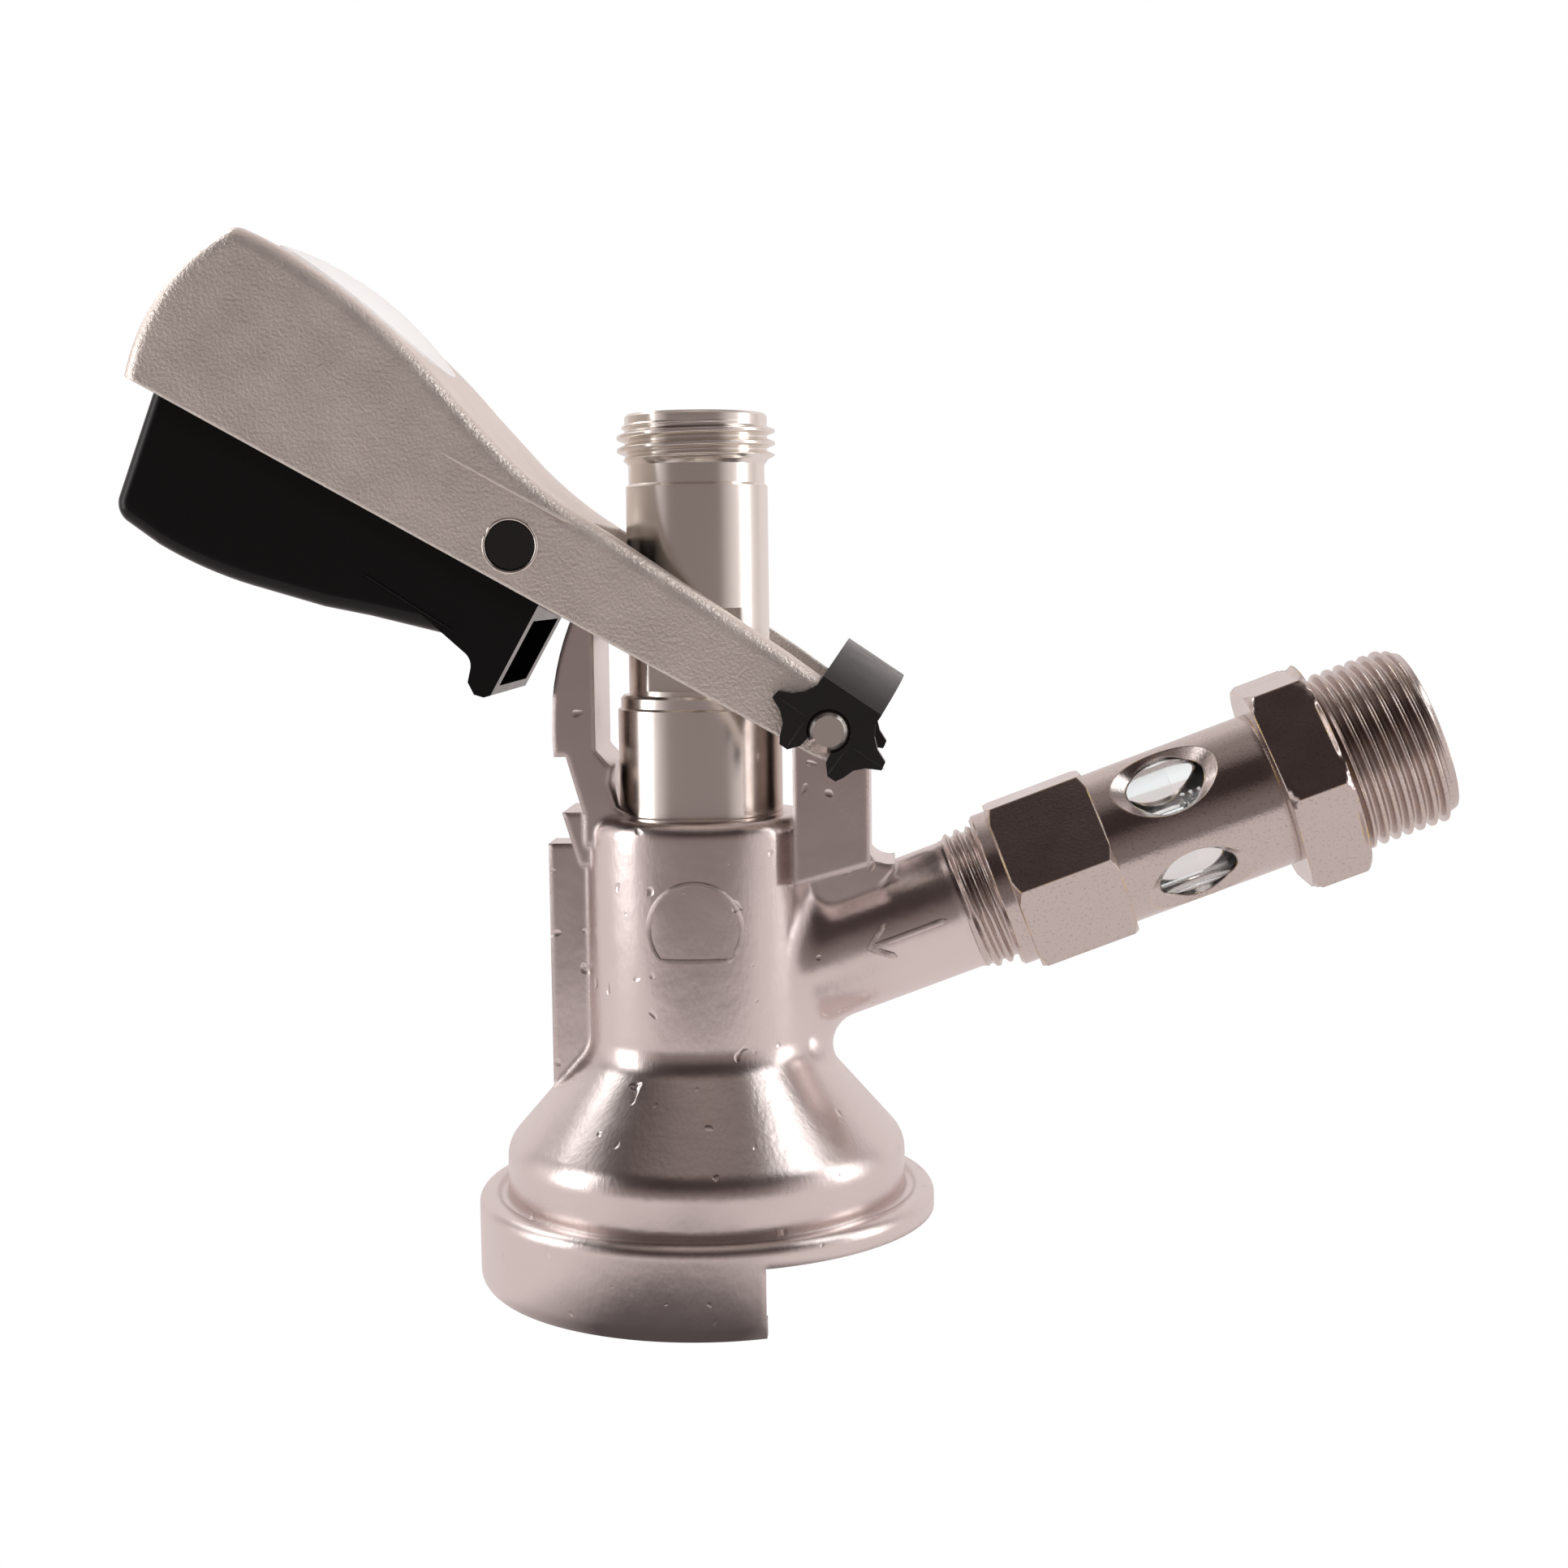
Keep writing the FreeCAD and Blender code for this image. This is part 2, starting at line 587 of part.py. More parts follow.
def on_crown(edge):
    """True for the upper and end edges of the palm, in the lever's own frame."""
    points = [v.Point for v in edge.Vertexes]
    side = all(abs(abs(p.y) - S["lever_y"].number) < 0.01 for p in points)
    top = all(p.z > 11.5 and p.x < -56 for p in points)
    corner = any(p.z > 11.5 for p in points) and all(p.x < 5.2 - end.number for p in points)
    return side and (top or corner)


rounded(lever, "crown", 2.4, on_crown)
block(lever, "fork_slot", lambda s: outline(s, [
    (-S["fork_end"], -low - 2),
    (10, -low - 2),
    (10, 16),
    (-S["fork_end"], 16),
]), 2 * S["fork_y"], kind="Pocket")
block(lever, "lower_hollow", lambda s: outline(s, [
    (-S["hollow_end"], -low - 2),
    (-S["fork_end"] + 1, -low - 2),
    (-S["fork_end"] + 1, S["arm_top"] + 0.4),
    (-S["hollow_end"] + 1.3, S["arm_top"] + 1.5),
]), 2 * S["hollow_y"] - 0.8, kind="Pocket")
block(lever, "upper_hollow", lambda s: outline(s, [
    (-S["hollow_end"] + 2.2, 0),
    (-S["fork_end"] + 1, 0),
    (-S["fork_end"] + 1, S["arm_top"] - 0.6),
    (-57, 11.6 - S["roof_t"]),
    (-67, 15.0 - S["roof_t"]),
    (-82.5, 18.9 - S["roof_t"]),
    (-94.1, 20.9 - S["roof_t"]),
    (-S["hollow_end"] + 6, 20.4 - S["roof_t"]),
]), 2 * S["hollow_y"] - 7, kind="Pocket")
for word, side in (("front", 1), ("rear", -1)):
    block(lever, "drive_boss_" + word, lambda s: ring(s, -S["boss_s"], S["boss_h"], S["boss_r"]),
          S["fork_y"] - S["boss_y"] + 0.3, middle=False, back=side < 0,
          shift=(0, 0, side * S["boss_y"]))
block(lever, "hinge_holes", lambda s: ring(s, 0, 0, S["pin_r"]), 2 * S["lever_y"] + 4, kind="Pocket")
block(lever, "grip_pin_holes", lambda s: ring(s, -S["grip_s"], S["grip_h"], S["grip_pin_r"]),
      2 * S["lever_y"] + 4, kind="Pocket")

# Hinge pin: a plain pin with chamfered ends through the fork arms and the hinge post.
hinge_pin = new_body("hinge_pin", at=at_hinge, turn=S["lever_deg"])
turned(hinge_pin, "pin_turning", [
    (0, -S["clip_y"] - 0.6),
    (S["pin_r"] - 0.85, -S["clip_y"] - 0.6),
    (S["pin_r"], -S["clip_y"] + 0.5),
    (S["pin_r"], S["clip_y"] - 0.5),
    (S["pin_r"] - 0.85, S["clip_y"] + 0.6),
    (0, S["clip_y"] + 0.6),
], plane="XY")

# Pin clip: a black moulding that arches over the fork's end and snaps on the pin's two ends.
clip = new_body("pin_clip", at=at_hinge, turn=S["clip_deg"])
HALF_STAR = [(1.9, -2.6), (2.1, -3.8), (3.3, -5.2), (4.6, -5.2), (5.2, -4.2), (5.8, -2.6), (7.0, -1.4),
             (9.0, -0.4), (8.8, 0.8), (7.0, 1.6), (5.7, 2.8), (4.8, 4.4), (4.8, 5.9)]
grow = S["pin_r"] / 3.0
star = [(grow * x, grow * z) for x, z in HALF_STAR]
star = star + [(-x, z) for x, z in reversed(star)]
star = star + [(-1.9 * grow, -1.0 * grow), (1.9 * grow, -1.0 * grow)]
for word, side in (("front", 1), ("rear", -1)):
    block(clip, "cheek_" + word, lambda s: outline(s, star), S["clip_y"] - S["clip_in"],
          middle=False, back=side < 0, shift=(0, 0, side * S["clip_in"]))
    block(clip, "eye_" + word, lambda s: ring(s, 0, 0, S["pin_r"] + 0.02), S["clip_y"],
          kind="Pocket", middle=False, back=side > 0, shift=(0, 0, side * (S["clip_in"] - 3)))
arch_low = 5.4 * grow
arch_top = 11.4 * grow
arch_y = S["clip_y"]
rise = arch_top - arch_low
arch_r = (arch_y * arch_y + rise * rise) / (2 * rise)
under_y = S["clip_in"]
under_rise = rise - 0.6
under_r = (under_y * under_y + under_rise * under_rise) / (2 * under_rise)
block(clip, "arch", lambda s: outline(s, [
    (arch_y, arch_low, arch_r),
    (-arch_y, arch_low),
    (-under_y, arch_low - 1.0, -under_r),
    (under_y, arch_low - 1.0),
]), 9.6 * grow, plane="YZ")

# Grip: the black trigger under the palm, an open tub that swings on the grip pin.
grip = new_body("grip", at=at_hinge, turn=S["lever_deg"])
gs = S["grip_s"]
gh = S["grip_h"]
block(grip, "grip_side", lambda s: outline(s, [
    (-gs + 6.9, gh - 20.0),
    (-gs + 6.2, gh - 20.7),
    (-gs + 4.8, gh - 21.0),
    (-gs + 3.2, gh - 19.9),
    (-gs + 2.7, gh - 18.2, 2.4),
    (-gs + 1.1, gh - 16.5),
    (-gs - 2.9, gh - 15.6),
    (-gs - 13.6, gh - 18.5),
    (-gs - 19.9, gh - 20.5),
    (-gs - 28.4, gh - 22.4, -60),
    (-gs - 44.7, gh - 24.1),
    (-gs - 50.4, gh - 23.4, -3.2),
    (-gs - 52.8, gh - 21.0),
    (-gs - 55.0, gh - 6.4),
    (-gs - 54.2, gh - 2.4),
    (-gs - 9.0, gh - 2.4),
    (-gs - 5.0, gh + 2.0, -5.4),
    (-gs + 5.0, gh + 2.0),
    (-gs + 6.9, gh - 3.4),
]), 2 * S["grip_y"] - 0.6)


def on_grip_under(edge):
    """True for the long lower edges of the grip's two sides, in the grip's own frame."""
    points = [v.Point for v in edge.Vertexes]
    side = all(abs(p.y) > S["grip_y"].number - 0.4 for p in points)
    return side and all(p.z < -10 and p.x < -gs.number - 13.5 for p in points)


rounded(grip, "grip_edges", 2.4, on_grip_under)
block(grip, "grip_tub", lambda s: outline(s, [
    (-gs - 8.4, gh + 6),
    (-gs - 8.4, gh - 13.6),
    (-gs - 14.4, gh - 15.6),
    (-gs - 28.6, gh - 19.6),
    (-gs - 44.0, gh - 21.2),
    (-gs - 49.6, gh - 20.4),
    (-gs - 52.2, gh - 5.0),
    (-gs - 52.2, gh + 6),
]), 2 * (S["grip_y"] - S["grip_wall"]), kind="Pocket")
block(grip, "spring_room", lambda s: outline(s, [
    (-gs - 9.0, gh - 5.6),
    (-gs + 5.4, gh - 5.6),
    (-gs + 5.4, gh + 9),
    (-gs - 9.0, gh + 9),
]), 13, kind="Pocket")
block(grip, "front_slot", lambda s: outline(s, [
    (-gs + 9, gh - 8.2),
    (-gs + 2.2, gh - 8.2),
    (-gs + 4.2, gh - 18.6),
    (-gs + 9, gh - 18.6),
]), 2 * (S["grip_y"] - 3.6), kind="Pocket")
block(grip, "latch_seat", lambda s: outline(s, [
    (-gs + 9, gh - 6.2),
    (-gs + 4.0, gh - 6.2),
    (-gs + 4.0, gh - 3.6),
    (-gs + 9, gh - 3.6),
]), 17, kind="Pocket")
block(grip, "grip_bore", lambda s: ring(s, -gs, gh, S["grip_pin_r"] + 0.05), 2 * S["grip_y"] + 4, kind="Pocket")

# Latch plate: the hardened nose in the grip's front that snaps under the catch ledge.
latch = new_body("latch_plate", at=at_hinge, turn=S["lever_deg"])
block(latch, "nose", lambda s: outline(s, [
    (-S["catch_r"] - 0.4, gh - 5.0),
    (-S["catch_r"] - 0.4, gh - 3.6),
    (-gs + 4.0, gh - 3.6),
    (-gs + 4.0, gh - 6.2),
    (-S["catch_r"] - 1.4, gh - 6.2),
]), 17)

# Grip pin: a black pin pressed into both sides of the lever.
grip_pin = new_body("grip_pin", at=at_hinge, turn=S["lever_deg"])
turned(grip_pin, "pin_turning", [
    (0, -S["lever_y"]),
    (S["grip_pin_r"] - 0.3, -S["lever_y"]),
    (S["grip_pin_r"], -S["lever_y"] + 0.3),
    (S["grip_pin_r"], S["lever_y"] - 0.3),
    (S["grip_pin_r"] - 0.3, S["lever_y"]),
    (0, S["lever_y"]),
    ], plane="XY", shift=(-gs, 0, gh))

# Grip spring: a small coil round the grip pin that keeps the grip swung out.
grip_spring = new_body("grip_spring", at=at_hinge, turn=S["lever_deg"])


def coil(owner, name, wire_r, coil_r, pitch, height, **frame):
    """Sweep a round wire along a helix about the sketch's own upright axis."""
    sketch = new_sketch(owner, name + "_wire", **frame)
    ring(sketch, coil_r, 0, wire_r)
    helix = owner.newObject("PartDesign::AdditiveHelix", name)
    helix.Profile = sketch
    helix.ReferenceAxis = (sketch, ["V_Axis"])
    helix.Mode = 0
    helix.Pitch = dim(pitch).number
    helix.Height = dim(height).number
    bind(helix, "Pitch", pitch)
    bind(helix, "Height", height)
    sketch.Visibility = False
    return helix


coil(grip_spring, "coil", 0.45, S["grip_pin_r"] + 1.1, 1.3, 9.1, plane="XY", shift=(-gs, -4.55, gh))

# Gas valve housing: collar, hexagon and sight sleeve in one turning, in a frame along the branch.
at_branch = (0, 0, S["branch_z"])
rise_deg = -S["branch_deg"]


def hexagon(sketch, flats, turn):
    """Draw a hexagon of this size across flats with one corner at this angle."""
    reach = flats / 1.7320508
    corners = []
    for i in range(6):
        angle = turn + 60.0 * i
        corners.append((reach * cosine(angle), reach * sine(angle)))
    outline(sketch, corners)


housing = new_body("valve_housing", at=at_branch, turn=rise_deg)
block(housing, "hexagon_bar", lambda s: hexagon(s, S["hex1_af"], S["hex1_deg"]),
      S["sleeve_s"] - S["hex1_s"], middle=False, plane="YZ", shift=(0, 0, S["hex1_s"]))
hex1_corner = S["hex1_af"] / 1.7320508
turned(housing, "hexagon_chamfers", [
    (S["hex1_s"] - 1, hex1_corner - 1.0),
    (S["hex1_s"], hex1_corner - 1.0),
    (S["hex1_s"] + 1.0, hex1_corner + 0.2),
    (S["sleeve_s"] - 1.0, hex1_corner + 0.2),
    (S["sleeve_s"], hex1_corner - 1.0),
    (S["sleeve_s"] + 1, hex1_corner - 1.0),
    (S["sleeve_s"] + 1, hex1_corner + 2),
    (S["hex1_s"] - 1, hex1_corner + 2),
], kind="Groove", about="H_Axis")
turned(housing, "collar_and_sleeve", [
    (S["collar_s"], 0),
    (S["collar_s"], S["collar_r"] - 0.5),
    (S["collar_s"] + 0.5, S["collar_r"]),
    (S["hex1_s"] + 0.2, S["collar_r"]),
    (S["hex1_s"] + 0.2, S["sleeve_r"] - 1),
    (S["sleeve_s"] - 0.2, S["sleeve_r"] - 1),
    (S["sleeve_s"] - 0.2, S["sleeve_r"]),
    (S["hex2_s"], S["sleeve_r"]),
    (S["hex2_s"], 0),
], about="H_Axis")
turned(housing, "housing_bore", [
    (S["collar_s"] - 1, 0),
    (S["collar_s"] - 1, S["branch_root"] + 0.02),
    (S["branch_end"] + 1.6, S["branch_root"] + 0.02),
    (S["branch_end"] + 1.6, 6.0),
    (S["sleeve_s"] - 1.5, 6.0),
    (S["sleeve_s"] - 1.5, S["sleeve_in"]),
    (S["hex2_s"] + 1, S["sleeve_in"]),
    (S["hex2_s"] + 1, 0),
], kind="Groove", about="H_Axis")
for number in range(4):
    turned(housing, "window_%d" % (number + 1), [
        (0, 5),
        (S["window_r"], 5),
        (S["window_r"], S["sleeve_in"] - 0.4),
        (S["window_cone"], S["sleeve_r"] + 0.35),
        (S["window_cone"], S["sleeve_r"] + 3),
        (0, S["sleeve_r"] + 3),
    ], kind="Groove", shift=(S["window_s"], 0, 0), turn=S["window_deg"] + 90.0 * number, axis=V(1, 0, 0))

# Clear tube: the window lining that the check poppet is watched through.
clear_tube = new_body("sight_tube", at=at_branch, turn=rise_deg)
turned(clear_tube, "tube_wall", [
    (S["sleeve_s"] + 0.8, S["tube_in"]),
    (S["sleeve_s"] + 0.8, S["tube_out"]),
    (S["hex2_s"] - 1.0, S["tube_out"]),
    (S["hex2_s"] - 1.0, S["tube_in"]),
], about="H_Axis")
for word, start in (("inner", S["sleeve_s"] - 1.5), ("outer", S["hex2_s"] - 1.0)):
    tube_seal = new_body("tube_seal_" + word, at=at_branch, turn=rise_deg)
    deep = 2.3 if word == "inner" else 1.0
    turned(tube_seal, "seal_" + word, [
        (start, S["tube_in"] - 0.6),
        (start, S["sleeve_in"] - 0.05),
        (start + deep, S["sleeve_in"] - 0.05),
        (start + deep, S["tube_in"] - 0.6),
    ], about="H_Axis")

# Check valve: a clear cross guide, a poppet with its seal and the spring that closes it.
guide = new_body("valve_guide", at=at_branch, turn=rise_deg)
guide_start = S["sleeve_s"] + 2.2
guide_end = S["hex2_s"] - 2.0
for word, half_y, half_z in (("flat", S["tube_in"] - 0.1, dim(0.6)), ("upright", dim(0.6), S["tube_in"] - 0.1)):
    block(guide, "vane_" + word, lambda s, a=half_y, b=half_z: outline(s, [
        (-a, -b),
        (a, -b),
        (a, b),
        (-a, b),
    ]), S["window_s"] + 1.2 - guide_start, middle=False, plane="YZ", shift=(0, 0, guide_start))
turned(guide, "guide_core", [
    (guide_start, 0),
    (guide_start, 2.6),
    (S["window_s"] + 5, 2.6),
    (S["window_s"] + 5, 0),
], about="H_Axis")
turned(guide, "guide_bore", [
    (guide_start + 4, 0),
    (guide_start + 4, 1.7),
    (S["window_s"] + 6, 1.7),
    (S["window_s"] + 6, 0),
], kind="Groove", about="H_Axis")
poppet = new_body("check_poppet", at=at_branch, turn=rise_deg)
seat_s = S["hex2_s"]
turned(poppet, "poppet_turning", [
    (guide_start + 8, 0),
    (guide_start + 8, 1.62),
    (S["window_s"] + 8.4, 1.62),
    (S["window_s"] + 8.4, 5.6),
    (S["window_s"] + 9.9, 5.6),
    (S["window_s"] + 9.9, 2.4),
    (seat_s + 0.8, 2.4),
    (seat_s + 1.6, 1.6),
    (seat_s + 1.6, 0),
], about="H_Axis")
poppet_seal = new_body("poppet_seal", at=at_branch, turn=rise_deg)
turned(poppet_seal, "seal_ring", [
    (S["window_s"] + 9.9, 2.4),
    (S["window_s"] + 9.9, 6.2),
    (seat_s - 0.8, 6.2),
    (seat_s - 0.3, 5.6),
    (seat_s - 0.3, 2.4),
], about="H_Axis")
poppet_spring = new_body("poppet_spring", at=at_branch, turn=rise_deg)
coil(poppet_spring, "coil", 0.35, 3.5, 1.3, 5.9,
     plane="XZ", shift=(S["window_s"] + 1.7, 0, 0), turn=dim(-90.0))

# Gas hose connector: hexagon and inlet thread in one turning, screwed into the sight sleeve.
connector = new_body("hose_connector", at=at_branch, turn=rise_deg)
block(connector, "hexagon_bar", lambda s: hexagon(s, S["hex2_af"], S["hex2_deg"]),
      S["thread_s"] - S["hex2_s"], middle=False, plane="YZ", shift=(0, 0, S["hex2_s"]))
hex2_corner = S["hex2_af"] / 1.7320508
turned(connector, "hexagon_chamfers", [
    (S["hex2_s"] - 1, hex2_corner - 1.2),
    (S["hex2_s"], hex2_corner - 1.2),
    (S["hex2_s"] + 1.1, hex2_corner + 0.2),
    (S["thread_s"] - 1.1, hex2_corner + 0.2),
    (S["thread_s"], hex2_corner - 1.2),
    (S["thread_s"] + 1, hex2_corner - 1.2),
    (S["thread_s"] + 1, hex2_corner + 2),
    (S["hex2_s"] - 1, hex2_corner + 2),
], kind="Groove", about="H_Axis")
turned(connector, "inlet_thread", [
    (S["thread_s"] - 1, 0),
    (S["thread_s"] - 1, S["inlet_r"]),
    (S["inlet_end"] - 1.2, S["inlet_r"]),
    (S["inlet_end"], S["inlet_r"] - 1.3),
    (S["inlet_end"], 0),
], about="H_Axis")
turned(connector, "connector_bore", [
    (S["hex2_s"] - 1, 0),
    (S["hex2_s"] - 1, 5.4),
    (S["hex2_s"] + 1.0, 5.4),
    (S["hex2_s"] + 3.5, S["inlet_bore"]),
    (S["inlet_end"] - 1.5, S["inlet_bore"]),
    (S["inlet_end"] - 0.6, S["inlet_bore"] + 2.6),
    (S["inlet_end"] + 1, S["inlet_bore"] + 3.2),
    (S["inlet_end"] + 1, 0),
], kind="Groove", about="H_Axis")

# Inlet washer between the branch's end and the housing, and the lip valve in the branch.
washer = new_body("inlet_washer", at=at_branch, turn=rise_deg)
turned(washer, "washer_ring", [
    (S["branch_end"], 6.4),
    (S["branch_end"], 9.0),
    (S["branch_end"] + 1.6, 9.0),
    (S["branch_end"] + 1.6, 6.4),
], about="H_Axis")
lip_valve = new_body("gas_lip_valve", at=at_branch, turn=rise_deg)
turned(lip_valve, "lip_moulding", [
    (34.0, 0.5),
    (34.0, 1.6),
    (42.0, S["branch_bore"] - 0.9),
    (46.0, S["branch_bore"] - 0.05),
    (50.5, S["branch_bore"] - 0.05),
    (50.5, S["branch_bore"] - 1.4),
    (43.5, S["branch_bore"] - 2.2),
    (36.0, 0.5),
], about="H_Axis")

doc.recompute()
bodies = [thing for thing in doc.Objects if thing.isDerivedFrom("PartDesign::Body")]
for thing in doc.Objects:
    if "Invalid" in thing.State or "Error" in thing.State:
        raise RuntimeError("%s is broken: %s" % (thing.Name, thing.State))
os.makedirs("parts", exist_ok=True)
for thing in bodies:
    shape = thing.Shape
    if shape.isNull() or not shape.isValid() or len(shape.Solids) != 1:
        raise RuntimeError("%s has no sound shape: %d solids" % (thing.Label, len(shape.Solids)))
    shape.exportStep("parts/%s.step" % thing.Label)
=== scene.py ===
"""Looks of a lever keg coupler: plated casting, turned steel probe, cast lever, black grip
and gas inlet."""

import json
import math

import bpy
import numpy as np
from mathutils import Matrix, Vector


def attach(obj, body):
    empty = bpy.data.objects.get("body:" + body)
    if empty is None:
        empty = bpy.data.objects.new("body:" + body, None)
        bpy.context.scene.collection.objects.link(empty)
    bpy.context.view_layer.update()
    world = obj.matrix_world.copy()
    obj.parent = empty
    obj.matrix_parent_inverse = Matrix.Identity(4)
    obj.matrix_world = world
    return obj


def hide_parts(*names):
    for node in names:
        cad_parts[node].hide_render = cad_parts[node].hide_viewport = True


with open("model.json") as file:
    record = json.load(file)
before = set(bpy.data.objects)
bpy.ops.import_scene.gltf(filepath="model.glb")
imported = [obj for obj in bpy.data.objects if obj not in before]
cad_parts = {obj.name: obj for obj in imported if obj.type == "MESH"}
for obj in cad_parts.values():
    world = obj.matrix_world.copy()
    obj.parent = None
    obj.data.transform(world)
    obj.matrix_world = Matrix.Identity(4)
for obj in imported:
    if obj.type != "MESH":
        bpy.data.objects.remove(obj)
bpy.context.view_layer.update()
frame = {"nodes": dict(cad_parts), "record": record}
scene = bpy.context.scene

FINISH = {}
BEVEL_SAMPLES = 6
COLOUR_A, COLOUR_B, COLOUR_OUT = 6, 7, 2  # sockets of a Mix node that mixes colours


# Node helpers: each adds nodes to a tree and gives back the socket that the next one reads.
def noise_on(tree, scale, detail=3.0, stretch=(1.0, 1.0, 1.0)):
    """Noise in the piece's own metres, stretched along chosen axes."""
    place = tree.nodes.new("ShaderNodeTexCoord")
    spread = tree.nodes.new("ShaderNodeMapping")
    spread.inputs["Scale"].default_value = stretch
    cloud = tree.nodes.new("ShaderNodeTexNoise")
    cloud.inputs["Scale"].default_value = scale
    cloud.inputs["Detail"].default_value = detail
    tree.links.new(place.outputs["Object"], spread.inputs["Vector"])
    tree.links.new(spread.outputs["Vector"], cloud.inputs["Vector"])
    return cloud.outputs["Fac"]


def ranged(tree, value, low, high, start=0.3, end=0.7):
    """A value from start to end turned into a number from low to high."""
    change = tree.nodes.new("ShaderNodeMapRange")
    change.inputs["From Min"].default_value = start
    change.inputs["From Max"].default_value = end
    change.inputs["To Min"].default_value = low
    change.inputs["To Max"].default_value = high
    tree.links.new(value, change.inputs["Value"])
    return change.outputs["Result"]


def bumped(tree, shader, value, distance, strength=1.0, before=None):
    """Small relief of the given depth in metres, on top of the normals given before it."""
    bump = tree.nodes.new("ShaderNodeBump")
    bump.inputs["Strength"].default_value = strength
    bump.inputs["Distance"].default_value = distance
    tree.links.new(value, bump.inputs["Height"])
    if before is not None:
        tree.links.new(before, bump.inputs["Normal"])
    tree.links.new(bump.outputs["Normal"], shader.inputs["Normal"])
    return bump.outputs["Normal"]


def soft_edges(tree, radius):
    """Normals that turn over an edge within the radius, as a casting's edges do."""
    bevel = tree.nodes.new("ShaderNodeBevel")
    bevel.samples = BEVEL_SAMPLES
    bevel.inputs["Radius"].default_value = radius
    return bevel.outputs["Normal"]


def edge_share(tree, soft, low, high):
    """1 on edges and 0 on flats, from how far the softened normal leans off the true one."""
    true = tree.nodes.new("ShaderNodeNewGeometry")
    lean = tree.nodes.new("ShaderNodeVectorMath")
    lean.operation = "DOT_PRODUCT"
    tree.links.new(soft, lean.inputs[0])
    tree.links.new(true.outputs["Normal"], lean.inputs[1])
    return ranged(tree, lean.outputs["Value"], 1.0, 0.0, low, high)


def reckoned(tree, operation, *values):
    """A sum of one or two values, such as their product or the larger of them."""
    node = tree.nodes.new("ShaderNodeMath")
    node.operation = operation
    for place, value in enumerate(values):
        tree.links.new(value, node.inputs[place])
    return node.outputs[0]


def mixed(tree, share, first, second):
    """The first colour where the share is 0 and the second where it is 1. A colour is its
    red, green and blue, or the socket that gives it."""
    mix = tree.nodes.new("ShaderNodeMix")
    mix.data_type = "RGBA"
    tree.links.new(share, mix.inputs[0])
    for place, colour in ((COLOUR_A, first), (COLOUR_B, second)):
        if isinstance(colour, tuple):
            mix.inputs[place].default_value = (*colour, 1.0)
        else:
            tree.links.new(colour, mix.inputs[place])
    return mix.outputs[COLOUR_OUT]


def blended(tree, share, first, second):
    """The first shader where the share is 0 and the second where it is 1."""
    blend = tree.nodes.new("ShaderNodeMixShader")
    tree.links.new(share, blend.inputs["Fac"])
    tree.links.new(first, blend.inputs[1])
    tree.links.new(second, blend.inputs[2])
    return blend.outputs[0]


def finish_of(name, colour, metallic, roughness, sheen):
    """A finish with its shader, ready for grain and stains. The sheen gives the scale of the
    noise that its roughness follows, and its lowest and highest roughness."""
    material = bpy.data.materials.new(name)
    material.use_nodes = True
    tree = material.node_tree
    shader = tree.nodes["Principled BSDF"]
    shader.inputs["Base Color"].default_value = (*colour, 1.0)
    shader.inputs["Metallic"].default_value = metallic
    shader.inputs["Roughness"].default_value = roughness
    scale, low, high = sheen
    tree.links.new(ranged(tree, noise_on(tree, scale), low, high), shader.inputs["Roughness"])
    FINISH[name] = material
    return tree, shader


# Finishes. Every metal here is the same idea: a bright coat whose sheen changes a little
# from place to place, with small dents or grain left by the way the piece was made.
tree, shader = finish_of("cast_plate", (0.76, 0.685, 0.665), 1.0, 0.3, (90.0, 0.20, 0.29))
corners = soft_edges(tree, 0.0013)
waves = bumped(tree, shader, noise_on(tree, 110.0, 4.0), 0.0007, 0.16, corners)
pores = noise_on(tree, 1700.0, 2.0, (1.0, 1.0, 0.35))
grain = bumped(tree, shader, pores, 0.00005, 0.35, waves)
dents = ranged(tree, noise_on(tree, 420.0, 0.0), 1.0, 0.0, 0.785, 0.88)
bumped(tree, shader, dents, 0.0003, 0.5, grain)

tree, shader = finish_of("turned_steel", (0.86, 0.82, 0.77), 1.0, 0.2, (60.0, 0.17, 0.25))
bumped(tree, shader, noise_on(tree, 5000.0, 1.0, (0.02, 0.02, 1.0)), 0.00002, 0.35)

# The lever is tumbled after casting, which leaves its flats grainy and its edges polished.
# Its edges are painted lighter in colour, partly for that polish and partly as a painted
# highlight.
LEVER_TONE = (0.88, 0.81, 0.75)
tree, shader = finish_of("cast_steel", LEVER_TONE, 0.88, 0.42, (200.0, 0.36, 0.48))
corners = soft_edges(tree, 0.0007)
# Lighter colour on the edges: partly the polish of tumbling, partly a painted highlight.
polish_and_highlight = edge_share(tree, corners, 0.93, 0.998)
tree.links.new(mixed(tree, polish_and_highlight, LEVER_TONE, (1.0, 0.97, 0.90)), shader.inputs["Base Color"])
sand = bumped(tree, shader, noise_on(tree, 2100.0, 2.0), 0.0004, 0.36, corners)
dents = ranged(tree, noise_on(tree, 230.0, 1.0), 1.0, 0.0, 0.74, 0.80)
bumped(tree, shader, dents, 0.0003, 0.5, sand)

# The bar pieces are darker with fine specks, and their plating is worn to brass at corners.
tree, shader = finish_of("plated_bar", (0.60, 0.53, 0.505), 1.0, 0.24, (160.0, 0.14, 0.22))
corners = soft_edges(tree, 0.00035)
bumped(tree, shader, noise_on(tree, 2600.0, 2.0), 0.00005, 0.3, corners)
patches = ranged(tree, noise_on(tree, 400.0), 0.0, 1.0, 0.45, 0.62)
worn = reckoned(tree, "MULTIPLY", edge_share(tree, corners, 0.88, 0.99), patches)
specks = ranged(tree, noise_on(tree, 2600.0), 0.0, 0.6, 0.55, 0.80)
specked = mixed(tree, specks, (0.62, 0.55, 0.525), (0.30, 0.25, 0.22))
tree.links.new(mixed(tree, worn, specked, (0.80, 0.58, 0.26)), shader.inputs["Base Color"])

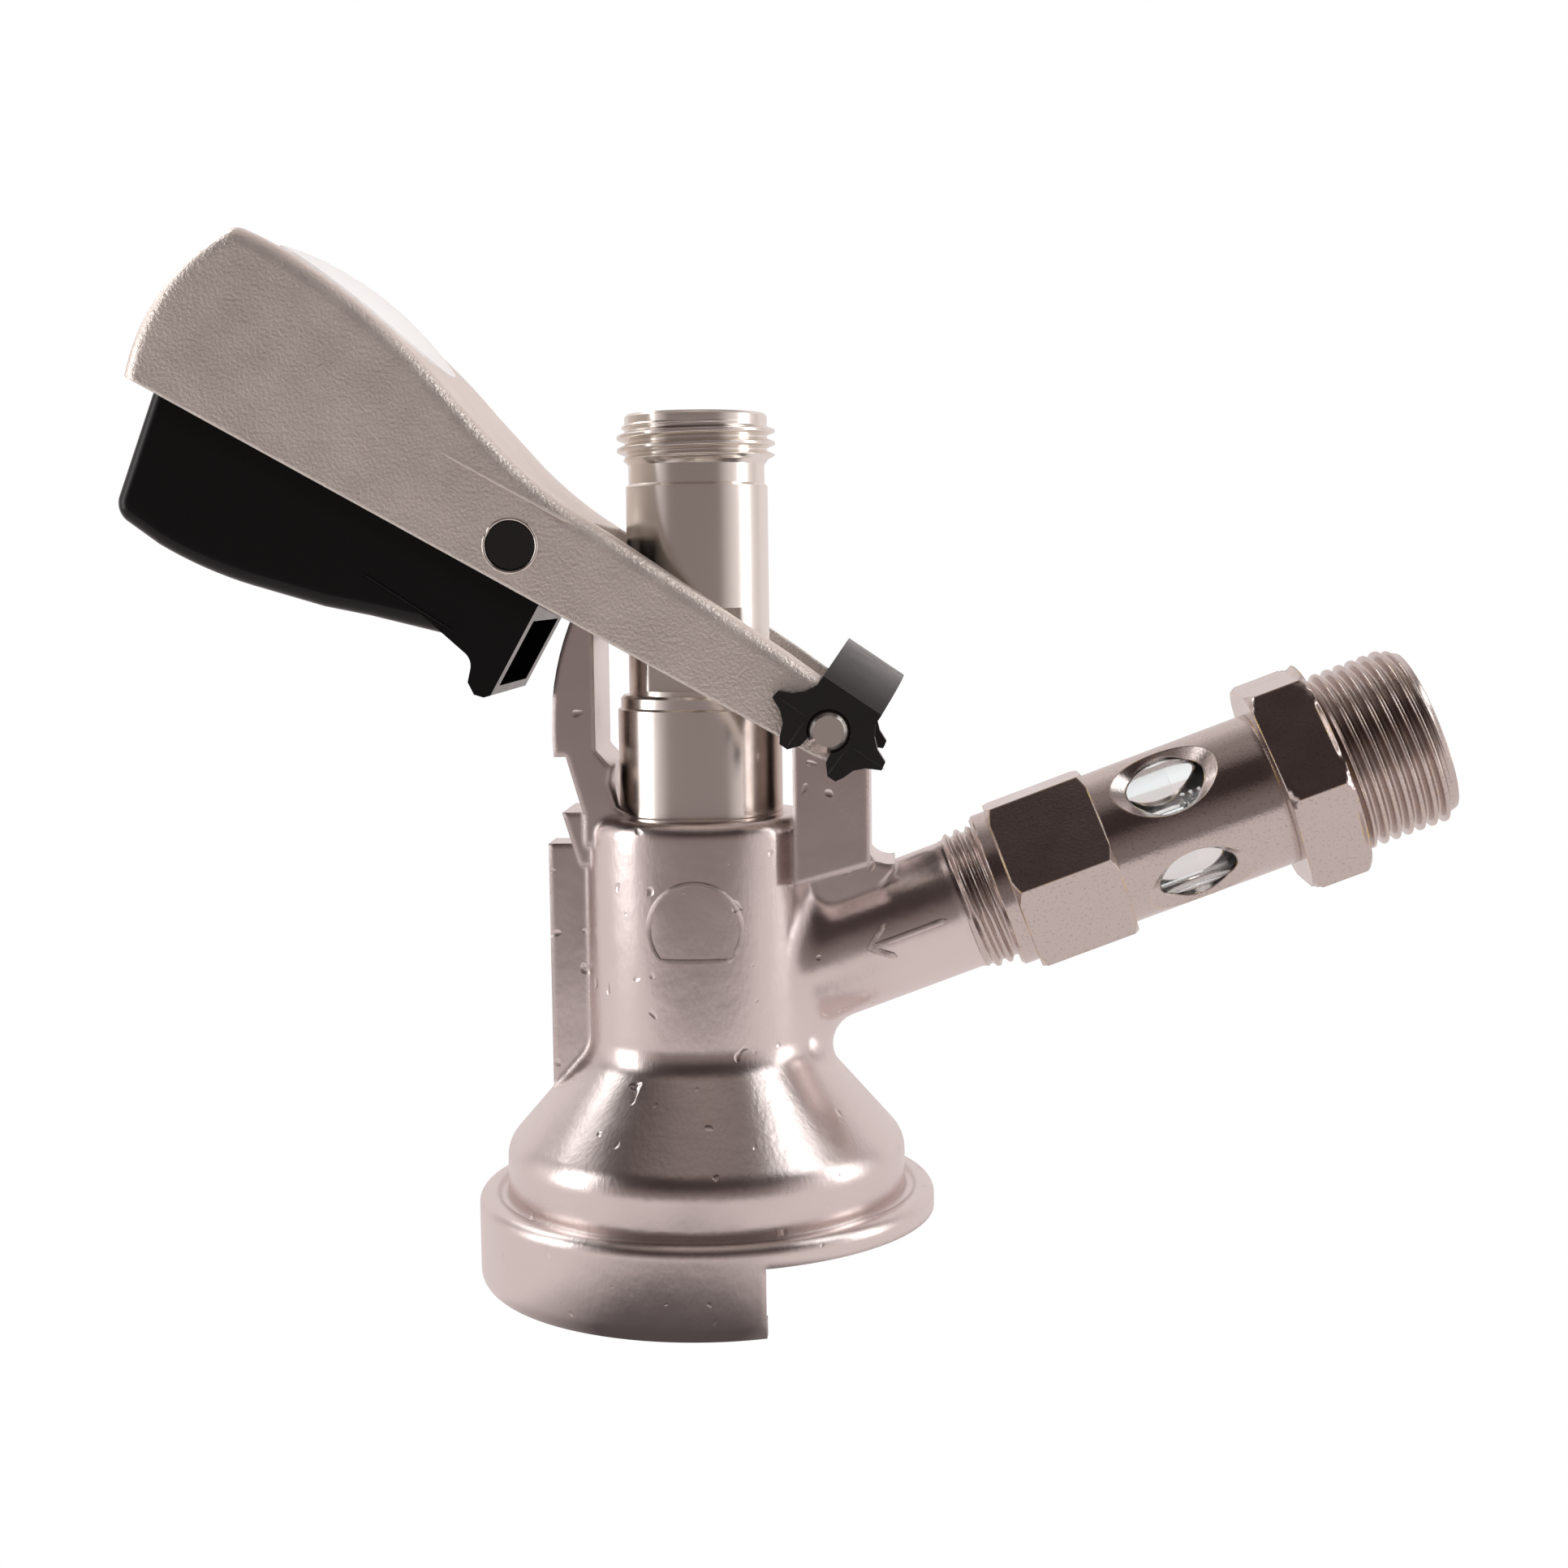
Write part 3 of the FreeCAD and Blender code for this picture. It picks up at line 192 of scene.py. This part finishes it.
tree, shader = finish_of("black_grip", (0.003, 0.0025, 0.003), 0.0, 0.22, (120.0, 0.17, 0.26))
shader.inputs["Specular IOR Level"].default_value = 0.25

for name, colour, metallic, roughness, sheen in (
    ("black_clip", (0.006, 0.0055, 0.006), 0.0, 0.3, (300.0, 0.22, 0.34)),
    ("black_rubber", (0.016, 0.016, 0.016), 0.0, 0.6, (300.0, 0.52, 0.66)),
    ("grey_rubber", (0.30, 0.30, 0.31), 0.0, 0.6, (300.0, 0.52, 0.66)),
    ("white_plastic", (0.90, 0.90, 0.90), 0.0, 0.35, (300.0, 0.30, 0.42)),
    ("spring_wire", (0.55, 0.54, 0.53), 1.0, 0.25, (300.0, 0.2, 0.3)),
    ("fibre", (0.30, 0.05, 0.03), 0.0, 0.8, (900.0, 0.7, 0.9)),
):
    finish_of(name, colour, metallic, roughness, sheen)

tree, shader = finish_of("clear_plastic", (0.95, 0.96, 0.96), 0.0, 0.05, (120.0, 0.03, 0.09))
shader.inputs["Transmission Weight"].default_value = 1.0
shader.inputs["IOR"].default_value = 1.2

for part in frame["record"]["subparts"]:
    piece = frame["nodes"][part["node"]]
    piece.data.materials.clear()
    piece.data.materials.append(FINISH[part["material_slot"]])


# Pieces drawn here.
SHARP_ANGLE = math.radians(34)


def hoop_faces(rows, columns, first=0):
    """Faces between the rows of a grid of points whose columns close into hoops."""
    index = first + np.arange(rows * columns).reshape(rows, columns)
    index = np.concatenate([index, index[:, :1]], axis=1)
    around = [index[:-1, :-1], index[:-1, 1:], index[1:, 1:], index[1:, :-1]]
    return np.stack(around, axis=-1).reshape(-1, 4).tolist()


def smooth_piece(name, points, polygons, slot, body, sharp=None):
    """A smooth piece that moves with its body, its edges kept sharp from the given angle."""
    mesh = bpy.data.meshes.new(name)
    mesh.from_pydata(points.reshape(-1, 3).tolist(), [], polygons)
    mesh.polygons.foreach_set("use_smooth", np.ones(len(polygons), dtype=bool))
    if sharp is not None:
        mesh.set_sharp_from_angle(angle=sharp)
    mesh.materials.append(FINISH[slot])
    piece = bpy.data.objects.new(name, mesh)
    scene.collection.objects.link(piece)
    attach(piece, body)
    return piece


def grid_piece(name, points, slot, body, capped=False):
    """A closed surface through a grid of points: rows along it, columns round it, faces
    outward, and its first row filled in where it is capped."""
    rows, columns = points.shape[:2]
    polygons = hoop_faces(rows, columns)
    if capped:
        polygons.append(list(range(columns))[::-1])
    return smooth_piece(name, points, polygons, slot, body, SHARP_ANGLE)


RIDGE_SIDES = 8
RIDGE_END = 0.05  # a ridge's thickness at its ends, as a share of the rest


def ridge(name, paths, thick, slot, body):
    """Thin round ridges: circles of radius thick set square to each path, its ends drawn in."""
    turn = np.linspace(0, 2 * np.pi, RIDGE_SIDES + 1)[:-1][None, :, None]
    points, polygons, used = [], [], 0
    for path in paths:
        heading = np.gradient(path, axis=0)
        heading /= np.linalg.norm(heading, axis=1)[:, None]
        side = np.cross(heading, [0.05, 1.0, 0.02])
        side /= np.linalg.norm(side, axis=1)[:, None]
        other = np.cross(heading, side)
        size = np.full((len(path), 1, 1), thick)
        size[[0, -1]] = thick * RIDGE_END
        circle = side[:, None] * np.cos(turn) + other[:, None] * np.sin(turn)
        points.append((path[:, None] + size * circle).reshape(-1, 3))
        polygons += hoop_faces(len(path), RIDGE_SIDES, used)
        used += len(path) * RIDGE_SIDES
    return smooth_piece(name, np.concatenate(points), polygons, slot, body)


# Threads. Both hose threads and the branch thread are 55 degree pipe threads, 1.814 mm
# from crest to crest, rounded on top and running out at each end.
PITCH = 1.814e-3
ROOT_SHARE, FLANK_SHARE = 0.12, 0.72  # of half a pitch
PROFILE_STEP = 1.6  # mm


def tooth(s, angle, start, end, lead):
    """Height of the thread from 0 to 1: a rounded tooth of (s - pitch * turn) / pitch, with
    turn = angle / 2 pi, faded to nothing over lead at the start and the end."""
    phase = (s / PITCH - angle / (2 * np.pi)) % 1.0
    rise = np.clip((1.0 - 2.0 * np.abs(phase - 0.5) - ROOT_SHARE) / FLANK_SHARE, 0, 1)
    fade = np.clip(np.minimum(s - start, end - s) / lead, 0, 1)
    return rise * rise * (3 - 2 * rise) * fade


def along_profile(corners, step):
    """Points along a broken line through the corners, no further apart than the step."""
    corners = np.array(corners, float)
    pieces = []
    for start, stop in zip(corners[:-1], corners[1:]):
        count = max(1, int(np.ceil(np.linalg.norm(stop - start) / step)))
        share = np.arange(count)[:, None] / count
        pieces.append(start + (stop - start) * share)
    return np.concatenate(pieces + [corners[-1:]])


def refined(profile, rows, radius, start, end, count):
    """The profile in metres, with the rows that will carry a thread drawn by count points."""
    fine = np.stack([np.full(count, radius), np.linspace(start, end, count)], 1)
    return np.concatenate([profile[:rows[0]], fine, profile[rows[-1] + 1:]]) / 1000


def placed(radius, angle, s, place):
    """Points at radius and angle about the place's own Z axis, s along it."""
    points = np.stack([radius * np.cos(angle), radius * np.sin(angle), s + 0 * angle], axis=-1)
    return points @ np.array(place.to_3x3()).T + np.array(place.translation)


# Branch thread: the few turns that show between the casting and the valve housing. It runs
# on into the housing, where it is no longer drawn.
BRANCH_RISE = math.radians(20.46)
BRANCH_ROOT, BRANCH_TOOTH = 0.00972, 0.00073
BRANCH_START, BRANCH_SEEN, BRANCH_END = 0.0407, 0.0457, 0.0462
branch = Matrix.Translation((0, 0, 0.0410)) @ Matrix.Rotation(math.pi / 2 - BRANCH_RISE, 4, "Y")
turns = np.linspace(0, 2 * np.pi, 129)[:-1][None, :]
s = np.linspace(BRANCH_START, BRANCH_SEEN, 150)[:, None]
radius = BRANCH_ROOT + BRANCH_TOOTH * tooth(s, turns, BRANCH_START, BRANCH_END, 0.0012)
grid_piece("branch_thread", placed(radius, turns, s, branch), "plated_bar", "housing")


# Probe: one stainless turning with two ring grooves in its head, a small step, two drive
# flats for the lever's bosses, and the outlet thread at its top. It is hollow for the beer.
# Radius and height of each corner, in mm.
PROBE = [
    (7.4, 7.0), (7.4, 7.8), (6.7, 7.9), (6.7, 11.0), (9.7, 11.0), (9.7, 13.5), (8.6, 14.6),
    (8.6, 58.6), (11.95, 58.6), (11.95, 61.0), (10.05, 61.0), (10.05, 63.6), (11.95, 63.6),
    (11.95, 65.4), (10.05, 65.4), (10.05, 68.0), (11.95, 68.0), (11.95, 84.3), (11.5, 84.6),
    (11.5, 86.0), (11.1, 86.4), (10.28, 86.4), (10.28, 87.09), (10.28, 87.11),
    (10.28, 98.89), (10.28, 98.91), (10.28, 116.3), (9.85, 116.7), (9.85, 119.4),
    (10.29, 119.9), (10.29, 125.3), (10.3, 125.4), (10.3, 126.3), (9.9, 126.7),
    (8.9, 126.7), (8.4, 126.1), (8.4, 122.3), (6.6, 122.3), (6.6, 111.6), (3.5, 108.4),
    (3.5, 101.6), (5.5, 99.6), (5.5, 7.0), (7.4, 7.0),
]
OUTLET_ROOT, OUTLET_LOW, OUTLET_HIGH = 10.29, 119.9, 125.3  # mm
OUTLET_START, OUTLET_END, OUTLET_TOOTH = 0.1199, 0.1253, 0.001165
FLAT_START, FLAT_END, FLAT_HALF = 0.0871, 0.0989, 0.0079
profile = along_profile(PROBE, PROFILE_STEP)
rows = np.flatnonzero((profile[:, 0] > 10.2) & (profile[:, 1] >= OUTLET_LOW)
                      & (profile[:, 1] <= OUTLET_HIGH))
profile = refined(profile, rows, OUTLET_ROOT, OUTLET_LOW, OUTLET_HIGH, 190)
radius, s = profile[:, :1] + 0 * turns, profile[:, 1:]
threaded = (radius > 0.0102) & (s > OUTLET_START) & (s < OUTLET_END)
teeth = OUTLET_TOOTH * tooth(s, turns, OUTLET_START, OUTLET_END, 0.0009)
radius = np.where(threaded, radius + teeth, radius)
flat = (radius > 0.01) & (s > FLAT_START) & (s < FLAT_END)
chord = FLAT_HALF / np.maximum(np.abs(np.sin(turns)), 1e-3)
radius = np.where(flat, np.minimum(radius, chord), radius)
points = placed(radius, turns, s, Matrix.Identity(4))
probe = grid_piece("turned_probe", points, "turned_steel", "probe")
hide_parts("probe")


# Hose connector: a hexagon with chamfered corners, the gas inlet thread of seven turns
# beyond it, and a bore with a seat for the hose tail. Radius and place along the branch of
# each corner, in mm.
CONNECTOR = [
    (15.54, 88.3), (16.94, 89.4), (16.94, 96.1), (15.54, 97.2), (12.06, 97.25),
    (12.06, 110.9), (11.9, 111.6), (10.8, 111.6), (10.6, 111.0), (8.0, 110.1), (8.0, 91.8),
    (5.4, 89.3), (5.4, 88.3), (15.54, 88.3),
]
HEX_RADIUS = 0.0290 / 2
HEX_TURN = math.radians(92.0)
HEX_END, HEX_CORE = 0.0972, 0.0130
INLET_ROOT, INLET_LOW, INLET_HIGH = 12.06, 97.25, 110.9  # mm
INLET_START, INLET_END, INLET_TOOTH = 0.0973, 0.1111, 0.00116
around = HEX_TURN + np.linspace(0, 2 * np.pi, 193)[:-1][None, :]
profile = along_profile(CONNECTOR, PROFILE_STEP)
rows = np.flatnonzero((abs(profile[:, 0] - INLET_ROOT) < 0.01))
profile = refined(profile, rows, INLET_ROOT, INLET_LOW, INLET_HIGH, 400)
radius, s = profile[:, :1] + 0 * around, profile[:, 1:]
sixth = (around - HEX_TURN) % (np.pi / 3) - np.pi / 6
bar = (s < HEX_END) & (radius > HEX_CORE)
radius = np.where(bar, np.minimum(radius, HEX_RADIUS / np.cos(sixth)), radius)
threaded = (abs(radius - INLET_ROOT / 1000) < 1e-5)
teeth = INLET_TOOTH * tooth(s, around, INLET_START, INLET_END, 0.0012)
radius = np.where(threaded, radius + teeth, radius)
points = placed(radius, around, s, branch)
connector = grid_piece("turned_connector", points, "plated_bar", "housing")
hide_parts("hose_connector")


# The lever's own directions: out along its arm, above it and across it.
LEVER_RISE = math.radians(29.4)
ALONG = np.array([-math.cos(LEVER_RISE), 0, math.sin(LEVER_RISE)])
ABOVE = np.array([math.sin(LEVER_RISE), 0, math.cos(LEVER_RISE)])
ACROSS = np.array([0, 1, 0])
HINGE = np.array([0.0194, 0, 0.0821])


def on_lever(s, rise, y):
    """Places on the lever, measured from its hinge."""
    s, rise, y = (np.asarray(value, float)[..., None] for value in (s, rise, y))
    return HINGE + s * ALONG + rise * ABOVE + y * ACROSS


def arc_height(s, near, far, bend):
    """Height at s of a circle of radius bend that passes through two points."""
    near, far = np.array(near), np.array(far)
    half = (far - near) / 2
    down = np.array([half[1], -half[0]]) / np.linalg.norm(half)
    middle = near + half + down * math.sqrt(bend * bend - half @ half)
    return middle[1] + np.sqrt(bend * bend - (s - middle[0]) ** 2)


# Label: the blank white oval stuck on the palm. It is drawn as a low dome that follows the
# crown, because the photograph, taken from below the palm, still shows it. Two arcs that
# meet at CROWN_TOP make the crown.
CROWN_NEAR, CROWN_TOP, CROWN_FAR = (0.067, 0.0150), (0.095, 0.0215), (0.105, 0.0214)
NEAR_BEND, FAR_BEND = 0.095, 0.045
LABEL_MIDDLE, LABEL_HALF_LENGTH, LABEL_HALF_WIDTH = 0.0876, 0.0152, 0.0143
LABEL_EDGE, LABEL_DOME, LABEL_SUNK = 0.0003, 0.0015, -0.0002
share = np.array([0.02, 0.2, 0.4, 0.55, 0.7, 0.8, 0.9, 1.0, 1.0])[:, None]
turn = np.linspace(0, 2 * np.pi, 97)[:-1][None, :]
s = LABEL_MIDDLE + LABEL_HALF_LENGTH * share * np.cos(turn)
y = LABEL_HALF_WIDTH * share * np.sin(turn)
crown = np.where(s < CROWN_TOP[0], arc_height(s, CROWN_NEAR, CROWN_TOP, NEAR_BEND),
                 arc_height(s, CROWN_TOP, CROWN_FAR, FAR_BEND))
film = LABEL_EDGE + LABEL_DOME * (1 - share ** 2)
film[-1] = LABEL_SUNK
oval = on_lever(s, crown + film, y)
label = grid_piece("palm_label", oval, "white_plastic", "lever", capped=True)


# Badge: a raised arched frame cast on the cylinder's front, left bare inside, and a bare
# arrow along the branch that shows which way the gas runs.
CYLINDER_RADIUS = 0.0170
BADGE_X, BADGE_Z, BADGE_RADIUS = 0.0002, 0.0540, 0.0066
turn = np.linspace(math.radians(-35), math.radians(215), 60)
x = BADGE_X + BADGE_RADIUS * np.cos(turn)
z = BADGE_Z + BADGE_RADIUS * np.sin(turn)
x = np.concatenate([x, np.linspace(x[-1] + 0.0004, x[0] - 0.0004, 20), x[:1]])
z = np.concatenate([z, np.full(20, z[0] - 0.0006), z[:1]])
arch = np.stack([x, -np.sqrt(CYLINDER_RADIUS ** 2 - x * x), z], 1)
ridge("front_badge", [arch], 0.00036, "cast_plate", "housing")

BRANCH_RADIUS, ARROW_RADIUS = 0.0096, 0.00975
ARROW_TIP, ARROW_TAIL, BARB_LENGTH, BARB_RISE = 0.0262, 0.0382, 0.0034, 0.0026


def on_branch(s, rise):
    """A place on the branch's near side, s along it and rise above its middle line."""
    turn = -np.pi / 2 - rise / BRANCH_RADIUS
    return placed(np.full(len(s), ARROW_RADIUS), turn, s, branch)


shaft = on_branch(np.linspace(ARROW_TAIL, ARROW_TIP, 12), np.zeros(12))
barb = np.linspace(ARROW_TIP + BARB_LENGTH, ARROW_TIP, 7)
other_barb = np.linspace(ARROW_TIP, ARROW_TIP + BARB_LENGTH, 7)[1:]
rise = np.concatenate([np.linspace(BARB_RISE, 0, 7), np.linspace(0, -BARB_RISE, 7)[1:]])
barbs = on_branch(np.concatenate([barb, other_barb]), rise)
ridge("flow_arrow", [shaft, barbs], 0.00046, "cast_plate", "housing")


# Casting line: the sharp seam on each side of the lever where the palm swells from the arm.
LEVER_HALF_WIDTH, SEAM_RISE = 0.018, 0.00775
seams = [on_lever(np.linspace(0.0655, 0.0440, 14), SEAM_RISE, y)
         for y in (-LEVER_HALF_WIDTH, LEVER_HALF_WIDTH)]
ridge("lever_seams", seams, 0.00022, "cast_steel", "lever")


# Grip: a faint moulded line runs forward along each side, and the hole for its pin has a
# bright countersunk rim in the lever.
GRIP_HALF_WIDTH, RIM_HALF_WIDTH = 0.0150, 0.01796
GRIP_PIN_S, GRIP_PIN_RISE, RIM_RADIUS = 0.0508, 0.0010, 0.0037
lines, rims = [], []
for side in (-1, 1):
    drop = np.linspace(-0.0125, -0.0135, 12)
    lines.append(on_lever(np.linspace(0.0681, 0.0523, 12), drop, side * GRIP_HALF_WIDTH))
    turn = np.linspace(0, 2 * np.pi, 49)
    rims.append(on_lever(GRIP_PIN_S + RIM_RADIUS * np.cos(turn),
                         GRIP_PIN_RISE + RIM_RADIUS * np.sin(turn), side * RIM_HALF_WIDTH))
ridge("grip_lines", lines, 0.00014, "black_grip", "grip")
ridge("pin_rims", rims, 0.00022, "turned_steel", "lever")


# Clip ribs: fine raised lines from the points of each cheek to the edge of its slot. Each
# runs from a point to the slot, in mm to the right of the hinge and above it.
CLIP_HALF_WIDTH = 0.021
CLIP_RIBS = [((-7.2, 5.1), (-2.9, 1.9)), ((-5.6, -2.0), (-2.9, 1.9)),
             ((7.6, -5.3), (2.8, -1.9)), ((-0.2, -6.0), (2.8, -1.9))]
ribs = []
for y in (-CLIP_HALF_WIDTH, CLIP_HALF_WIDTH):
    for start, stop in CLIP_RIBS:
        share = np.linspace(0, 1, 8)[:, None]
        line = np.array(start) * (1 - share) + np.array(stop) * share
        ribs.append(HINGE + np.stack([line[:, 0] / 1000, np.full(8, y), line[:, 1] / 1000], 1))
ridge("clip_ribs", ribs, 0.00013, "black_clip", "lever")


# Camera: where the one that took the photograph stood, a little below the raised palm.
PHOTO_WIDTH = 1932  # pixels
SENSOR_WIDTH = 36.0  # mm


def look(distance, yaw, height, pitch, roll, focal, shift):
    """A camera that looks along the yaw, pitched down and rolled about its view. Distance
    and height are from the origin, shift is to its right, and focal is in pixels."""
    yaw, pitch, roll = map(math.radians, (yaw, pitch, roll))
    level = Vector((-math.sin(yaw), math.cos(yaw), 0))
    right = Vector((math.cos(yaw), math.sin(yaw), 0))
    ahead = level * math.cos(pitch) - Vector((0, 0, math.sin(pitch)))
    up = right.cross(ahead)
    side = right * math.cos(roll) - up * math.sin(roll)
    top = up * math.cos(roll) + right * math.sin(roll)
    data = bpy.data.cameras.new("camera")
    data.sensor_width = SENSOR_WIDTH
    data.lens = focal / PHOTO_WIDTH * SENSOR_WIDTH
    data.clip_start = 0.01
    data.clip_end = 20
    camera = bpy.data.objects.new("camera", data)
    scene.collection.objects.link(camera)
    place = -distance * level + shift * right + Vector((0, 0, height))
    turn = Matrix((side, top, -ahead)).transposed().to_4x4()
    camera.matrix_world = Matrix.Translation(place) @ turn
    scene.camera = camera


look(distance=0.3210, yaw=2.96, height=0.10287, pitch=5.33, roll=0.71, focal=2705.78,
     shift=0.01213)


# Lamps: soft boxes at both sides and above, and one in front that lights without a mirror
# image, so that the bright metal shows the room.
def lamp(name, place, aim, width, height, power):
    """A soft box: a rectangle of light turned to face the aim."""
    data = bpy.data.lights.new(name, "AREA")
    data.shape = "RECTANGLE"
    data.size = width
    data.size_y = height
    data.energy = power
    piece = bpy.data.objects.new(name, data)
    scene.collection.objects.link(piece)
    piece.location = place
    piece.rotation_mode = "QUATERNION"
    piece.rotation_quaternion = (Vector(aim) - Vector(place)).to_track_quat("-Z", "Y")
    return piece


lamp("left_box", (-0.55, -0.13, 0.14), (0, 0, 0.07), 0.22, 0.50, 0.75)
lamp("right_box", (0.56, -0.01, 0.14), (0, 0, 0.07), 0.16, 0.50, 0.60)
lamp("top_box", (-0.37, 0.17, 0.46), (0, 0, 0.05), 0.26, 0.26, 0.45)
lamp("crown_box", (0.42, -0.06, 0.50), (0, 0, 0.08), 0.22, 0.22, 0.36)
fill = lamp("fill_box", (0.10, -0.45, 0.45), (0, 0, 0.10), 0.30, 0.30, 2.2)
fill.visible_glossy = False

# Studio round the object: white walls behind it and at its sides, and in front of it a pale
# table, a dim room at eye height, darkness above that and a pale ceiling. SHADES gives the
# front from straight down (0) to straight up (1). The camera and clear pieces see plain
# white instead.
WALL_TONE = (0.84, 0.76, 0.75)
SHADES = [(0.0, (0.80, 0.72, 0.72)), (0.35, (0.26, 0.22, 0.22)), (0.50, (0.26, 0.215, 0.205)),
          (0.62, (0.17, 0.135, 0.13)), (0.72, (0.05, 0.035, 0.035)), (0.90, (0.06, 0.043, 0.042)),
          (0.984, (0.34, 0.29, 0.275)), (1.0, (0.50, 0.44, 0.42))]
world = bpy.data.worlds.new("studio")
scene.world = world
world.use_nodes = True
tree = world.node_tree
facing = tree.nodes.new("ShaderNodeTexCoord")
parts = tree.nodes.new("ShaderNodeSeparateXYZ")
tree.links.new(facing.outputs["Generated"], parts.inputs[0])
bands = tree.nodes.new("ShaderNodeValToRGB")
tree.links.new(ranged(tree, parts.outputs["Z"], 0.0, 1.0, -1.0, 1.0), bands.inputs["Fac"])
for _ in range(len(SHADES) - 2):  # a new ramp has two
    bands.color_ramp.elements.new(0.5)
for element, (position, _) in zip(bands.color_ramp.elements, SHADES):
    element.position = position
for element, (_, colour) in zip(bands.color_ramp.elements, SHADES):
    element.color = (*colour, 1.0)
beside = ranged(tree, reckoned(tree, "ABSOLUTE", parts.outputs["X"]), 0.0, 1.0, 0.66, 0.96)
behind = ranged(tree, parts.outputs["Y"], 0.0, 1.0, 0.1, 0.65)
walls = reckoned(tree, "MAXIMUM", beside, behind)
plain = tree.nodes["Background"]
plain.inputs["Strength"].default_value = 1.0
tree.links.new(mixed(tree, walls, bands.outputs["Color"], WALL_TONE), plain.inputs["Color"])
white = tree.nodes.new("ShaderNodeBackground")
white.inputs["Color"].default_value = (1, 1, 1, 1)
white.inputs["Strength"].default_value = 1.0
rays = tree.nodes.new("ShaderNodeLightPath")
direct = reckoned(tree, "MAXIMUM", rays.outputs["Is Camera Ray"],
                  rays.outputs["Is Transmission Ray"])
tree.links.new(blended(tree, direct, plain.outputs[0], white.outputs[0]),
               tree.nodes["World Output"].inputs["Surface"])

# Floor: plain white to the camera, and to the metal a pale glowing table with a painted shadow
# of the object in front of the foot.
SHADOW_MIDDLE, SHADOW_START, SHADOW_END = (-0.004, -0.044, 0), 0.016, 0.040
floor_mesh = bpy.data.meshes.new("floor")
floor_mesh.from_pydata([(-2, -0.2, 0), (2, -0.2, 0), (2, 2, 0), (-2, 2, 0)], [], [(0, 1, 2, 3)])
floor = bpy.data.objects.new("floor", floor_mesh)
scene.collection.objects.link(floor)
floor_finish = bpy.data.materials.new("floor")
floor_finish.use_nodes = True
tree = floor_finish.node_tree
tree.nodes.clear()
seen = tree.nodes.new("ShaderNodeEmission")
seen.inputs["Color"].default_value = (1, 1, 1, 1)
glow = tree.nodes.new("ShaderNodeEmission")
spot = tree.nodes.new("ShaderNodeTexCoord")
away = tree.nodes.new("ShaderNodeVectorMath")
away.operation = "DISTANCE"
away.inputs[1].default_value = SHADOW_MIDDLE
tree.links.new(spot.outputs["Object"], away.inputs[0])
clear = ranged(tree, away.outputs["Value"], 0.0, 1.0, SHADOW_START, SHADOW_END)
# The table's glow is dark inside the round patch and pale outside it: a painted shadow of the
# object.
table = mixed(tree, clear, (0.10, 0.085, 0.085), (0.80, 0.72, 0.71))
tree.links.new(table, glow.inputs["Color"])
rays = tree.nodes.new("ShaderNodeLightPath")
result = tree.nodes.new("ShaderNodeOutputMaterial")
tree.links.new(blended(tree, rays.outputs["Is Camera Ray"], glow.outputs[0], seen.outputs[0]),
               result.inputs["Surface"])
floor_mesh.materials.append(floor_finish)
floor.location = (0, 0, -0.0002)
scene.view_settings.view_transform = "Standard"
